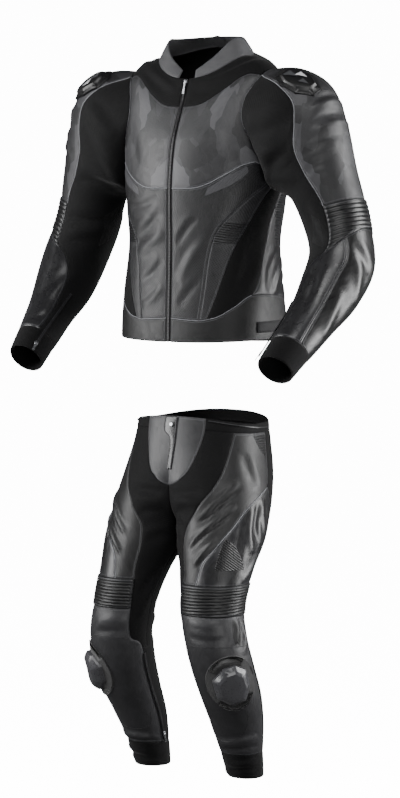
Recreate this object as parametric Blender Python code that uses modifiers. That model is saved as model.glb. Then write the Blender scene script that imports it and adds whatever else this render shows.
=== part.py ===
"""Two-piece motorcycle race suit, filled out as if worn: a hollow leather jacket above its trousers.

Metres, +Z up, the front faces -Y and the wearer's left is +X.  The origin is the middle of the neck, where
the wearer's shoulders hold the jacket.  Every cloth piece is a patch of one of four surfaces (torso, collar,
sleeve, leg), cut along named seam lines and thickened outwards by the wall.
"""

import math

import bmesh
import bpy
import numpy as np
from mathutils import Matrix, Vector

WALL = 0.0015            # cloth wall: leather with its backing
SEAM_GAP = 0.0003        # between neighbouring pieces
LIFT = 0.0003            # between a panel and what is sewn on it
# How far each sewn-on piece stands off the cloth's true curve, whose facets lie inside it or outside.
SLEEVE_LIFT, COLLAR_LIFT, FLAP_LIFT = 0.0034, 0.0018, 0.0030
SHOULDER_PLATE_LIFT, KNEE_PAD_LIFT = 0.0021, 0.0032
CUFF_ZIP_LIFT, CALF_ZIP_LIFT = 0.0025, 0.0019
ZIP_WIDTH = 0.0130       # front zip, over its tape
SMALL_ZIP_WIDTH = 0.0100
TAPE_WALL = 0.0012
STRAP_WALL = 0.0020
KNEE_PAD_WALL = 0.0030   # hook-and-loop pad under a knee puck
PUCK_CLEARANCE = 0.0017  # over the pad, which follows the shin more closely
PUCK_HEIGHT = 0.0165
SLIDER_HALF, SLIDER_THICK, SLIDER_LENGTH, SLIDER_SINK = 0.0042, 0.0022, 0.0105, 0.0008
SLIDER_BACK = 0.20       # rings between a small slider and its tape's end
EAR_WALL, EAR_HEIGHT, EAR_HALF = 0.0010, 0.0028, 0.0020
BARREL_HALF, BARREL_RADIUS = 0.0018, 0.0011
PULL_PLAY = 0.0004       # each side of the barrel
PULL_HALF, TAB_WALL, NECK_SHARE = 0.0030, 0.0012, 0.5
FRONT_PULL_LENGTH, SMALL_PULL_LENGTH = 0.030, 0.022
FRONT_SLIDER_RING = 7.80
SHOULDER_PLATE_HEIGHT = 0.0110

LEATHER, GREY_LEATHER = (0.045, 0.046, 0.050), (0.110, 0.112, 0.118)
STRETCH, BLACK_TRIM = (0.012, 0.012, 0.014), (0.020, 0.020, 0.022)
NICKEL = (0.62, 0.62, 0.64)

# Torso rings, hem first.  Heights and depths are given at the front, the side and the back.
# front_z side_z back_z half_width front_y side_y back_y power
TORSO = (
    (-0.612, -0.606, -0.625, 0.190, -0.1500, 0.000, 0.145, 2.5),
    (-0.522, -0.512, -0.530, 0.184, -0.1470, 0.000, 0.140, 2.5),
    (-0.400, -0.400, -0.400, 0.170, -0.1430, 0.004, 0.138, 2.5),
    (-0.310, -0.310, -0.310, 0.177, -0.1440, 0.008, 0.152, 2.5),
    (-0.240, -0.240, -0.235, 0.186, -0.1420, 0.008, 0.160, 2.4),
    (-0.165, -0.130, -0.150, 0.190, -0.1300, 0.006, 0.155, 2.3),
    (-0.110, -0.027, -0.058, 0.190, -0.1080, 0.002, 0.138, 2.2),
    (-0.070, 0.016, 0.016, 0.158, -0.0900, 0.000, 0.115, 2.2),
    (-0.022, 0.030, 0.055, 0.113, -0.0735, 0.008, 0.090, 2.2),
)
# The collar's top edge, as one more ring.
COLLAR_TOP = (0.000, 0.070, 0.076, 0.089, -0.0600, 0.004, 0.076, 2.2)

# Armhole seam, once round from the armpit past the front: torso angle and torso ring.
# angle ring
ARMHOLE = (
    (92, 3.80), (78, 4.15), (62, 4.70), (50, 5.35), (52, 5.90), (67, 6.25),
    (88, 6.40), (112, 6.30), (126, 5.90), (130, 5.30), (120, 4.70), (106, 4.15),
)

# Left sleeve rings after the armhole, shoulder to cuff.  bend tips the ring forwards, in degrees.
# outer_x outer_z inner_x inner_z centre_y half_depth bend power
SLEEVE = (
    (0.252, -0.003, 0.196, -0.268, 0.002, 0.098, 0.0, 2.2),
    (0.318, -0.038, 0.208, -0.274, 0.002, 0.092, 0.0, 2.2),
    (0.356, -0.116, 0.226, -0.282, 0.004, 0.084, 0.0, 2.1),
    (0.379, -0.225, 0.246, -0.300, 0.012, 0.077, 0.0, 2.1),
    (0.406, -0.330, 0.270, -0.365, 0.022, 0.074, 5.0, 2.1),
    (0.431, -0.425, 0.291, -0.425, 0.004, 0.076, 22.0, 2.1),
    (0.424, -0.490, 0.296, -0.490, -0.045, 0.070, 42.0, 2.1),
    (0.405, -0.550, 0.301, -0.550, -0.110, 0.054, 50.0, 2.1),
    (0.390, -0.598, 0.299, -0.598, -0.166, 0.047, 50.0, 2.1),
    (0.380, -0.633, 0.296, -0.633, -0.209, 0.042, 50.0, 2.0),
    (0.374, -0.656, 0.294, -0.656, -0.236, 0.040, 50.0, 2.0),
)

# Left leg rings, waist first.  A ring whose half width passes its centre is open at the middle plane.
# front_z outer_z back_z centre_x centre_y half_width front back power
LEG = (
    (-0.782, -0.800, -0.784, 0.000, -0.004, 0.1520, 0.118, 0.118, 2.3),
    (-0.845, -0.850, -0.845, 0.014, -0.010, 0.1440, 0.122, 0.126, 2.3),
    (-0.915, -0.915, -0.915, 0.043, -0.026, 0.1290, 0.124, 0.132, 2.2),
    (-0.985, -0.985, -0.985, 0.075, -0.052, 0.1110, 0.114, 0.122, 2.1),
    (-1.055, -1.055, -1.055, 0.098, -0.082, 0.0955, 0.098, 0.104, 2.1),
    (-1.125, -1.125, -1.125, 0.109, -0.117, 0.0790, 0.080, 0.082, 2.1),
    (-1.200, -1.200, -1.200, 0.117, -0.147, 0.0700, 0.068, 0.068, 2.1),
    (-1.270, -1.270, -1.270, 0.128, -0.152, 0.0680, 0.066, 0.066, 2.2),
    (-1.340, -1.340, -1.340, 0.135, -0.134, 0.0670, 0.068, 0.070, 2.2),
    (-1.410, -1.410, -1.410, 0.138, -0.104, 0.0650, 0.067, 0.070, 2.1),
    (-1.480, -1.480, -1.480, 0.133, -0.069, 0.0570, 0.057, 0.060, 2.1),
    (-1.550, -1.550, -1.550, 0.129, -0.043, 0.0470, 0.046, 0.048, 2.0),
    (-1.610, -1.610, -1.610, 0.128, -0.024, 0.0400, 0.039, 0.040, 2.0),
)

# Seams, as (angle or turn, ring) along each line.
YOKE_FRONT = ((0, 6.62), (14, 6.60), (30, 6.78), (50, 6.85), (62, 6.72))
YOKE_BACK = ((128, 6.20), (150, 6.10), (180, 6.05))
CHEST_HEM = ((0, 3.60), (15, 3.62), (25, 3.75), (36, 3.98), (52, 4.25), (66, 4.33))
STRIP_FRONT = ((19, 0.61), (23.5, 1.31), (29, 1.95), (36, 2.45), (53, 3.00), (66, 3.40))
STRIP_BACK = ((25, 0.63), (37, 1.31), (55, 2.10), (65, 2.54), (74, 3.00), (81, 3.40))
SIDE_SEAM = ((66, 1.07), (73, 1.25), (82, 1.75), (87.5, 2.16), (90, 2.77), (95, 3.30))
HEM_SEAM = ((0, 0.66), (19, 0.61), (25, 0.63), (34, 0.68), (49, 0.86), (66, 1.07), (90, 1.05), (130, 0.90),
            (180, 0.86))
SLEEVE_FRONT = ((158, 0.00), (134, 0.94), (122, 1.76), (108, 2.20), (93, 2.75), (93, 3.60), (102, 4.30),
                (104, 4.60), (100, 5.40), (88, 6.20), (66, 6.70), (45, 7.40), (43, 8.60), (54, 9.50))
SLEEVE_BACK = ((208, 0.00), (228, 1.00), (240, 2.00), (249, 3.00), (246, 4.30), (243, 4.60), (241, 5.40),
               (250, 6.50), (260, 8.00), (262, 9.50))
ELBOW_HEM = ((88, 6.20), (110, 5.80), (127, 5.55), (160, 5.30), (200, 5.25), (241, 5.40))
FOREARM_SEAM = ((132, 5.50), (131, 6.50), (132, 7.50), (145, 9.00), (150, 9.50))
FLY_EDGE = ((53, 0.00), (52, 0.50), (44, 1.10), (33, 1.80), (20, 2.15))
STRETCH_SEAM = ((111, 0.50), (95, 1.70), (81, 2.35), (66, 2.85), (61, 3.50), (66, 4.10), (58, 5.00),
                (53, 5.35))
THIGH_DIAGONAL = ((192.5, 2.42), (148, 3.00), (130, 3.67), (115, 4.23), (98, 4.70), (88, 5.35))
LEG_SIDE = ((196, 0.50), (196, 2.30), (197, 2.42), (212, 3.20), (226, 4.20), (225, 5.35))
SHIN_INNER = ((46, 6.25), (38, 7.20), (12, 7.60), (8, 9.50), (6, 11.00))
SHIN_OUTER = ((215, 6.25), (205, 7.30), (200, 9.00), (200, 11.00))
KNEE_TOP, KNEE_BOTTOM, LEG_CUFF = 5.35, 6.25, 11.0
STRETCH_END = 7.60
WAISTBAND_SEAM = 0.50
SLEEVE_CUFF, SLEEVE_END = 9.50, 11.0
CAP_END = 4.60
LEG_END = 12.0
CROTCH_RING = 3.5        # from here down, the legs' walls face each other
FIRST_CLOSED_RING = 4
INSEAM_REACH = 60        # degrees over which the front and the back are drawn to one inseam

# Sewn-on hard and fabric parts: centre (turn, ring), half size in metres.
KNEE_PAD = ((134, 8.42), 0.055, 0.070)
KNEE_PUCK = ((134, 8.42), 0.040, 0.046)
SHOULDER_PLATE = ((150, 1.45), 0.034, 0.052)

# Zips: the line they follow, (turn, ring) at the top and at the end where the slider stands.
CUFF_ZIP = ((22, 7.70), (27, 8.43), (35, 9.40), (41, 10.60))
CALF_ZIP = ((10, 7.80), (8, 9.50), (6, 10.90))


# ---- surfaces -------------------------------------------------------------------------------------------

def spline(rings, place):
    """Points at fractional ring numbers, on a Catmull-Rom curve through the rings."""
    last = len(rings) - 1
    place = np.clip(place, 0, last)
    first = np.minimum(place.astype(int), last - 1)
    part = (place - first)[..., None]
    columns = tuple(np.indices(place.shape)) if rings.ndim > 2 else ()
    before, here, after, beyond = (
        rings[(np.clip(first + step, 0, last),) + columns] for step in (-1, 0, 1, 2)
    )
    return 0.5 * (
        2 * here + (after - before) * part
        + (2 * before - 5 * here + 4 * after - beyond) * part**2
        + (3 * here - before - 3 * after + beyond) * part**3
    )


def signed_power(value, exponent):
    return np.sign(value) * np.abs(value) ** exponent


def torso_ring(row, angle):
    """Points of a torso-like ring; angle 0 is the front, 90 the wearer's left side, 180 the back."""
    front_z, side_z, back_z, half_width, front_y, side_y, back_y, power = np.moveaxis(row, -1, 0)
    sine, cosine = np.sin(np.radians(angle)), np.cos(np.radians(angle))
    depth = np.where(cosine > 0, front_y - side_y, back_y - side_y)
    drop = np.where(cosine > 0, front_z - side_z, back_z - side_z)
    x = half_width * signed_power(sine, 2 / power)
    y = side_y + depth * np.abs(cosine) ** (2 / power)
    return np.stack([x, y, side_z + drop * cosine**2], -1)


def torso(angle, ring):
    return torso_ring(spline(np.array(TORSO), ring), angle)


def collar(angle, height):
    """Stand collar: height 0 is the neck seam and 1 the top edge."""
    seam, top = np.array(TORSO[-1]), np.array(COLLAR_TOP)
    lift = np.array([0, 0, COLLAR_LIFT])
    return torso_ring(seam + (top - seam) * height[..., None], angle) + lift


def armhole(turn):
    """Torso angle and ring of the armhole at a sleeve turn; turn 0 is the armpit, 90 the front."""
    place = np.asarray(turn, float) % 360 / (360 / len(ARMHOLE))
    closed = np.array(ARMHOLE[-1:] + ARMHOLE + ARMHOLE[:2])
    return spline(closed, place + 1)


def sleeve(turn, ring):
    """Left sleeve; turn 0 faces the body, 90 the front, 180 outwards.  Ring 0 is the armhole."""
    along, across = np.cos(np.radians(turn)), np.sin(np.radians(turn))
    seam = armhole(turn)
    rings = [torso(seam[..., 0], seam[..., 1]) + SLEEVE_LIFT * outward(torso, seam)]
    for outer_x, outer_z, inner_x, inner_z, centre_y, half_depth, bend, power in SLEEVE:
        centre = np.array([(outer_x + inner_x) / 2, centre_y, (outer_z + inner_z) / 2])
        outwards = np.array([(outer_x - inner_x) / 2, 0, (outer_z - inner_z) / 2])
        tip = math.radians(bend)
        forwards = half_depth * np.array([0, -math.cos(tip), math.sin(tip)])
        rings.append(centre - signed_power(along, 2 / power)[..., None] * outwards
                     + signed_power(across, 2 / power)[..., None] * forwards)
    return spline(np.array(rings), ring)


def leg_rings(turn, ring):
    """The leg's rings, joined by a spline; each half of an open ring ends at the middle plane."""
    rings = []
    for front_z, outer_z, back_z, centre_x, centre_y, half_width, front, back, power in LEG:
        cut = min(1, max(0, centre_x / half_width))
        opening = math.degrees(math.acos(cut ** (power / 2)))
        angle = np.radians(opening + (360 - 2 * opening) * turn / 360)
        across = np.sin(angle)
        x = centre_x - half_width * signed_power(np.cos(angle), 2 / power)
        y = centre_y - np.where(across > 0, front, back) * signed_power(across, 2 / power)
        z = outer_z + np.where(across > 0, front_z - outer_z, back_z - outer_z) * across**2
        rings.append(np.stack([x, y, z], -1))
    return spline(np.array(rings), ring)


def leg(turn, ring):
    """Left leg; turn 0 is the centre front or the inseam, 180 the outer side, 360 the centre back."""
    turn, ring = np.broadcast_arrays(np.asarray(turn, float), np.asarray(ring, float))
    points = leg_rings(turn, ring)
    front, back = leg_rings(0 * turn, ring), leg_rings(0 * turn + 360, ring)
    behind = (turn > 180) & (turn <= 360)
    near = 1 - np.clip(np.where(behind, 360 - turn, np.abs(turn % 360)) / INSEAM_REACH, 0, 1)
    near = near * (ring >= FIRST_CLOSED_RING)
    points = points + near[..., None] * ((front + back) / 2 - np.where(behind[..., None], back, front))
    stand_off = SEAM_GAP / 2 + 1.15 * WALL * np.clip(ring / CROTCH_RING, 0, 1)
    points[..., 0] = np.maximum(points[..., 0], stand_off)
    return points


def waist(turn, ring):
    """The top of the trousers all round: below 0 is the wearer's right front, past 360 the right back."""
    right = (turn < 0) | (turn > 360)
    points = leg(np.where(turn > 360, 720 - turn, np.abs(turn)), ring)
    points[..., 0] *= np.where(right, -1, 1)
    points[..., 0] *= np.where((turn == 0) | (turn == 360), 0, 1)
    return points


# ---- seam lines and patches -----------------------------------------------------------------------------

def line(points, count, start=None, end=None):
    """A seam line of count + 1 even steps through its points, between two ring numbers or whole."""
    points = np.array(points, float)
    steps = np.concatenate([[0], np.cumsum(np.hypot(*(np.diff(points, axis=0) / (40, 1)).T))])
    if start is not None:
        span = np.interp([start, end], points[:, 1], steps)
    else:
        span = steps[[0, -1]]
    at = np.linspace(*span, count + 1)
    return np.stack([np.interp(at, steps, points[:, k]) for k in (0, 1)], -1)


def arc(first_turn, last_turn, count):
    """Part of the armhole, in torso coordinates."""
    return armhole(np.linspace(first_turn, last_turn, count + 1))


def level(first, last, ring, count):
    """A line across at one ring number."""
    return line(((first, ring), (last, ring)), count)


def joined(*lines):
    """Lines end to end; where two meet, the later one's first point is kept."""
    return np.concatenate([part[:-1] for part in lines[:-1]] + [lines[-1]])


def mirrored(points):
    """The same torso line on the wearer's right, still running left to right."""
    return (points * (-1, 1) + (360, 0))[::-1]


def patch(low, high, left, right):
    """Coordinates all over a panel, blended from its four edges (a Coons patch)."""
    across = np.linspace(0, 1, len(low))[:, None, None]
    up = np.linspace(0, 1, len(left))[None, :, None]
    edges = (1 - up) * low[:, None] + up * high[:, None] + (1 - across) * left[None] + across * right[None]
    corners = ((1 - across) * ((1 - up) * low[0] + up * high[0])
               + across * ((1 - up) * low[-1] + up * high[-1]))
    return edges - corners


def zip_edge(ring):
    """Torso angle of the front panels' edge beside the zip."""
    row = spline(np.array(TORSO), np.asarray(ring, float))
    across = (ZIP_WIDTH / 2 + SEAM_GAP / 2) / row[..., 3]
    return np.degrees(np.arcsin(across ** (row[..., 7] / 2)))


def from_zip(points):
    """A seam line whose first point is moved from the middle to the edge of the zip."""
    points = np.array(points, float)
    points[0, 0] = zip_edge(points[0, 1])
    return points


# ---- making objects -------------------------------------------------------------------------------------

def clear_scene():
    for item in list(bpy.data.objects):
        bpy.data.objects.remove(item, do_unlink=True)


def new_collection(name):
    made = bpy.data.collections.new(name)
    bpy.context.scene.collection.children.link(made)
    return made


def finish(name, colour, roughness, metallic=0.0):
    material = bpy.data.materials.new(name + "_finish")
    material.use_nodes = True
    shader = material.node_tree.nodes["Principled BSDF"]
    shader.inputs["Base Color"].default_value = (*colour, 1)
    shader.inputs["Roughness"].default_value = roughness
    shader.inputs["Metallic"].default_value = metallic
    return material


def add_object(name, shape, material):
    """Puts a finished bmesh into the scene as one named part."""
    mesh = bpy.data.meshes.new(name)
    shape.to_mesh(mesh)
    shape.free()
    mesh.materials.append(material)
    mesh.shade_smooth()
    mesh.set_sharp_from_angle(angle=math.radians(40))
    item = bpy.data.objects.new(name, mesh)
    SUIT.objects.link(item)
    return item


def inset(points, closed, draw):
    """Draws the grid's edges in, as by half the seam gap."""
    drawn = points.copy()
    axes = (1,) if closed else (0, 1)
    for axis in axes:
        for edge, inner in ((0, 1), (-1, -2)):
            rim, next_row = np.take(points, edge, axis), np.take(points, inner, axis)
            step = next_row - rim
            step *= draw / np.maximum(np.linalg.norm(step, axis=-1, keepdims=True), 1e-6)
            index = (edge, slice(None)) if axis == 0 else (slice(None), edge)
            drawn[index] = drawn[index] + step
    return drawn


def grid_shape(points, closed, flipped):
    """An open surface over a grid of points, closed round its first direction if asked."""
    shape = bmesh.new()
    verts = [[shape.verts.new(point) for point in column] for column in points]
    count = len(verts)
    for i in range(count if closed else count - 1):
        for j in range(len(verts[0]) - 1):
            corners = [verts[i][j], verts[(i + 1) % count][j], verts[(i + 1) % count][j + 1], verts[i][j + 1]]
            shape.faces.new(corners[::-1] if flipped else corners)
    return shape


def cloth(name, surface, grid, material, side=1, wall=WALL, closed=False, lift=0.0, draw=SEAM_GAP / 2):
    """A panel: an open surface on its garment, thickened outwards."""
    points = surface(grid[..., 0], grid[..., 1])
    if lift:
        points = points + lift * outward(surface, grid)
    if closed:
        points = points[:-1]
    points = inset(points, closed, draw) * (side, 1, 1)
    inwards = surface in (sleeve, leg, waist)
    shape = grid_shape(points, closed, flipped=inwards == (side > 0))
    item = add_object(name, shape, material)
    thick = item.modifiers.new("wall", "SOLIDIFY")
    thick.thickness = wall
    thick.offset = 1
    return item


def outward(surface, grid):
    """Unit normals that point away from the wearer."""
    step = 0.01
    turn, ring = grid[..., 0], grid[..., 1]
    across = surface(turn + 40 * step, ring) - surface(turn - 40 * step, ring)
    along = surface(turn, ring + step) - surface(turn, ring - step)
    normal = np.cross(across, along)
    if surface in (sleeve, leg, waist):
        normal = -normal
    return normal / np.linalg.norm(normal, axis=-1, keepdims=True)


def both_sides(build):
    """Builds a piece for the wearer's left and again, mirrored, for the right."""
    for letter, side in (("L", 1), ("R", -1)):
        build(letter, side)


# ---- jacket ---------------------------------------------------------------------------------------------

CHEST_END, STRIP_END, SIDE_END, BACK_TURN, YOKE_TURN, SHOULDER_BACK = 36, 15, 4, -18, 158, 208


def chest_hem():
    return joined(line(from_zip(CHEST_HEM), 5), np.stack([line(CHEST_HEM, 1)[-1], arc(CHEST_END, 0, 1)[0]]))


def yoke_front():
    return joined(line(from_zip(YOKE_FRONT), 5), np.stack([line(YOKE_FRONT, 1)[-1], arc(YOKE_TURN, 0, 1)[0]]))


def strip_front():
    return joined(line(STRIP_FRONT, 6), np.stack([line(STRIP_FRONT, 1)[-1], arc(STRIP_END, 0, 1)[0]]))


def strip_back():
    return joined(line(STRIP_BACK, 6), np.stack([line(STRIP_BACK, 1)[-1], arc(SIDE_END, 0, 1)[0]]))


def side_seam():
    return joined(line(SIDE_SEAM, 6), np.stack([line(SIDE_SEAM, 1)[-1], arc(BACK_TURN, 0, 1)[0]]))


def hem_seam(first, last, count):
    """Part of the seam above the hem band, between two torso angles."""
    points = np.array(HEM_SEAM, float)
    at = np.linspace(first, last, count + 1)
    return np.stack([at, np.interp(at, points[:, 0], points[:, 1])], -1)


def zip_line(first, last, count):
    ring = np.linspace(first, last, count + 1)
    return np.stack([zip_edge(ring), ring], -1)


def build_front_panels(letter, side):
    grey = finish("grained_cowhide_" + letter, GREY_LEATHER, 0.5)
    dark = finish("perforated_cowhide_" + letter, LEATHER, 0.45)
    ribs = finish("ribbed_stretch_" + letter, BLACK_TRIM, 0.7)
    stretch = finish("stretch_" + letter, STRETCH, 0.85)
    armhole_edge = arc(CHEST_END, YOKE_TURN, 5)
    cloth("chest_" + letter, torso, patch(chest_hem(), yoke_front(), zip_line(3.60, 6.62, 5), armhole_edge),
          grey, side)
    seam = joined(strip_front(), arc(STRIP_END, CHEST_END, 2))
    hem = hem_seam(zip_edge(0.66), 19, 6)
    cloth("front_" + letter, torso, patch(hem, chest_hem(), zip_line(0.66, 3.60, 9), seam), dark, side)
    cloth("rib_strip_" + letter, torso,
          patch(hem_seam(19, 25, 2), arc(STRIP_END, SIDE_END, 2), strip_front(), strip_back()), ribs, side)
    cloth("side_" + letter, torso,
          patch(hem_seam(25, 66, 3), arc(SIDE_END, BACK_TURN, 3), strip_back(), side_seam()), stretch, side)


def build_back():
    left = joined(side_seam(), arc(BACK_TURN, SHOULDER_BACK - 360, 5))
    right = (left * (-1, 1)) + (360, 0)
    low = joined(hem_seam(66, 180, 5), mirrored(hem_seam(66, 180, 5)))
    half = joined(np.stack([arc(SHOULDER_BACK, 0, 1)[0], line(YOKE_BACK, 1)[0]]), line(YOKE_BACK, 4))
    high = joined(half, mirrored(half))
    cloth("back", torso, patch(low, high, left, right), finish("cowhide_back", LEATHER, 0.45))


def build_yoke_and_collar():
    half = joined(yoke_front(), arc(YOKE_TURN, SHOULDER_BACK, 2),
                  np.stack([arc(SHOULDER_BACK, 0, 1)[0], line(YOKE_BACK, 1)[0]]), line(YOKE_BACK, 4))
    low = joined(half, mirrored(half))
    top = half.copy()
    top[:, 0] = zip_edge(8.0) + (180 - zip_edge(8.0)) * np.linspace(0, 1, len(half)) ** 1.15
    top[:, 1] = 8.0
    edge = zip_line(6.62, 8.0, 3)
    grid = patch(low, joined(top, mirrored(top)), edge, edge * (-1, 1) + (360, 0))
    cloth("neck_yoke", torso, grid, finish("stretch_yoke", STRETCH, 0.8))
    turns = np.linspace(9, 351, 23)
    heights = np.linspace(0, 1, 3)
    corner = np.clip((np.minimum(turns, 360 - turns) - 9) / 14, 0, 1)
    grid = np.stack(np.broadcast_arrays(turns[:, None], heights * (0.72 + 0.28 * corner[:, None] ** 0.6)), -1)
    cloth("collar", collar, grid, finish("cowhide_collar", GREY_LEATHER, 0.55))


def build_hem(letter, side):
    zip_side = zip_edge(0.66)
    top = joined(hem_seam(zip_side, 19, 6), hem_seam(19, 25, 2), hem_seam(25, 66, 3), hem_seam(66, 180, 5))
    low = top * (1, 0)
    low[0, 0] = zip_edge(0.0)
    grid = patch(low, top, zip_line(0.0, 0.66, 2), line(((180, 0.0), (180, 0.86)), 2))
    cloth("hem_band_" + letter, torso, grid, finish("cowhide_hem_" + letter, LEATHER, 0.5), side)
    strap = patch(level(70, 104, 0.26, 5), level(70, 104, 0.50, 5),
                  line(((70, 0.26), (70, 0.50)), 1), line(((104, 0.26), (104, 0.50)), 1))
    cloth("waist_strap_" + letter, torso, strap, finish("strap_" + letter, BLACK_TRIM, 0.5), side,
          wall=STRAP_WALL, lift=WALL + 2 * LIFT)


def sleeve_line(points, first, last, count):
    return line(points, count, first, last)


def build_sleeve(letter, side):
    grey = finish("cowhide_shoulder_" + letter, GREY_LEATHER, 0.5)
    dark = finish("cowhide_forearm_" + letter, LEATHER, 0.35)
    ribs = finish("accordion_elbow_" + letter, BLACK_TRIM, 0.5)
    stretch = finish("stretch_sleeve_" + letter, STRETCH, 0.85)
    front = sleeve_line(SLEEVE_FRONT, 0, CAP_END, 7)
    back = sleeve_line(SLEEVE_BACK, 0, CAP_END, 7)
    cloth("shoulder_" + letter, sleeve,
          patch(level(158, 208, 0.0, 6), level(104, 243, CAP_END, 6), front, back), grey, side)
    elbow_front = sleeve_line(SLEEVE_FRONT, CAP_END, 6.20, 3)
    elbow_back = sleeve_line(SLEEVE_BACK, CAP_END, 5.40, 3)
    split = line(ELBOW_HEM, 6)
    cloth("elbow_" + letter, sleeve, patch(level(104, 243, CAP_END, 6), split, elbow_front, elbow_back),
          ribs, side, draw=2 * SEAM_GAP)
    seam = line(np.concatenate([split[2:3], FOREARM_SEAM[1:]]), 5)
    inner = sleeve_line(SLEEVE_FRONT, 6.20, SLEEVE_CUFF, 5)
    cloth("forearm_front_" + letter, sleeve,
          patch(split[:3], level(54, 150, SLEEVE_CUFF, 2), inner, seam), dark, side)
    outer = sleeve_line(SLEEVE_BACK, 5.40, SLEEVE_CUFF, 5)
    cloth("forearm_outer_" + letter, sleeve,
          patch(split[2:], level(150, 262, SLEEVE_CUFF, 4), seam, outer), dark, side)
    inner_front = joined(front, elbow_front, inner)
    inner_back = joined(back, elbow_back, outer) - (360, 0)
    low = joined(level(SHOULDER_BACK - 360, BACK_TURN, 0, 5), level(BACK_TURN, SIDE_END, 0, 1),
                 level(SIDE_END, CHEST_END, 0, 1), level(CHEST_END, YOKE_TURN, 0, 5))
    cloth("inner_sleeve_" + letter, sleeve,
          patch(low, level(-98, 54, SLEEVE_CUFF, 12), inner_back, inner_front), stretch, side,
          draw=1.5 * SEAM_GAP)
    ring = patch(level(0, 360, SLEEVE_CUFF, 15), level(0, 360, SLEEVE_END, 15),
                 line(((0, SLEEVE_CUFF), (0, SLEEVE_END)), 1), line(((360, SLEEVE_CUFF), (360, SLEEVE_END)), 1))
    cloth("sleeve_cuff_" + letter, sleeve, ring, finish("neoprene_cuff_" + letter, STRETCH, 0.9), side,
          closed=True)


# ---- trousers -------------------------------------------------------------------------------------------

def fly_edge():
    """Side of the fly panel below the waistband."""
    return line(FLY_EDGE, 5, WAISTBAND_SEAM, 2.15)


def fly_bottom():
    """Bottom of the fly panel, from its corner to the middle."""
    return line(((20, 2.15), (9, 2.27), (0, 2.31)), 3)


def build_waist():
    upper = line(FLY_EDGE, 2, 0.0, WAISTBAND_SEAM)
    half_turn = FLY_EDGE[0][0]
    band = patch(level(half_turn, 720 - half_turn, 0.0, 26),
                 joined(level(52, 111, WAISTBAND_SEAM, 4), level(111, 196, WAISTBAND_SEAM, 4),
                        level(196, 360, WAISTBAND_SEAM, 5), level(360, 524, WAISTBAND_SEAM, 5),
                        level(524, 609, WAISTBAND_SEAM, 4), level(609, 668, WAISTBAND_SEAM, 4)),
                 upper, upper * (-1, 1) + (720, 0))
    cloth("waistband", waist, band, finish("stretch_waistband", STRETCH, 0.8))
    edge = joined(upper, fly_edge())
    low = joined((fly_bottom() * (-1, 1)), fly_bottom()[::-1])
    panel = patch(level(-half_turn, half_turn, 0.0, 6), low, edge * (-1, 1), edge)
    cloth("fly_panel", waist, panel, finish("cowhide_fly", GREY_LEATHER, 0.45))
    flap = patch(level(-13, 5, 0.06, 2), level(-4, 5, 1.80, 2),
                 line(((-13, 0.06), (-13, 0.55), (-4, 0.85), (-4, 1.80)), 6),
                 line(((5, 0.06), (5, 1.80)), 6))
    cloth("fly_flap", waist, flap, finish("fly_flap", BLACK_TRIM, 0.4),
          lift=FLAP_LIFT)


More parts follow.
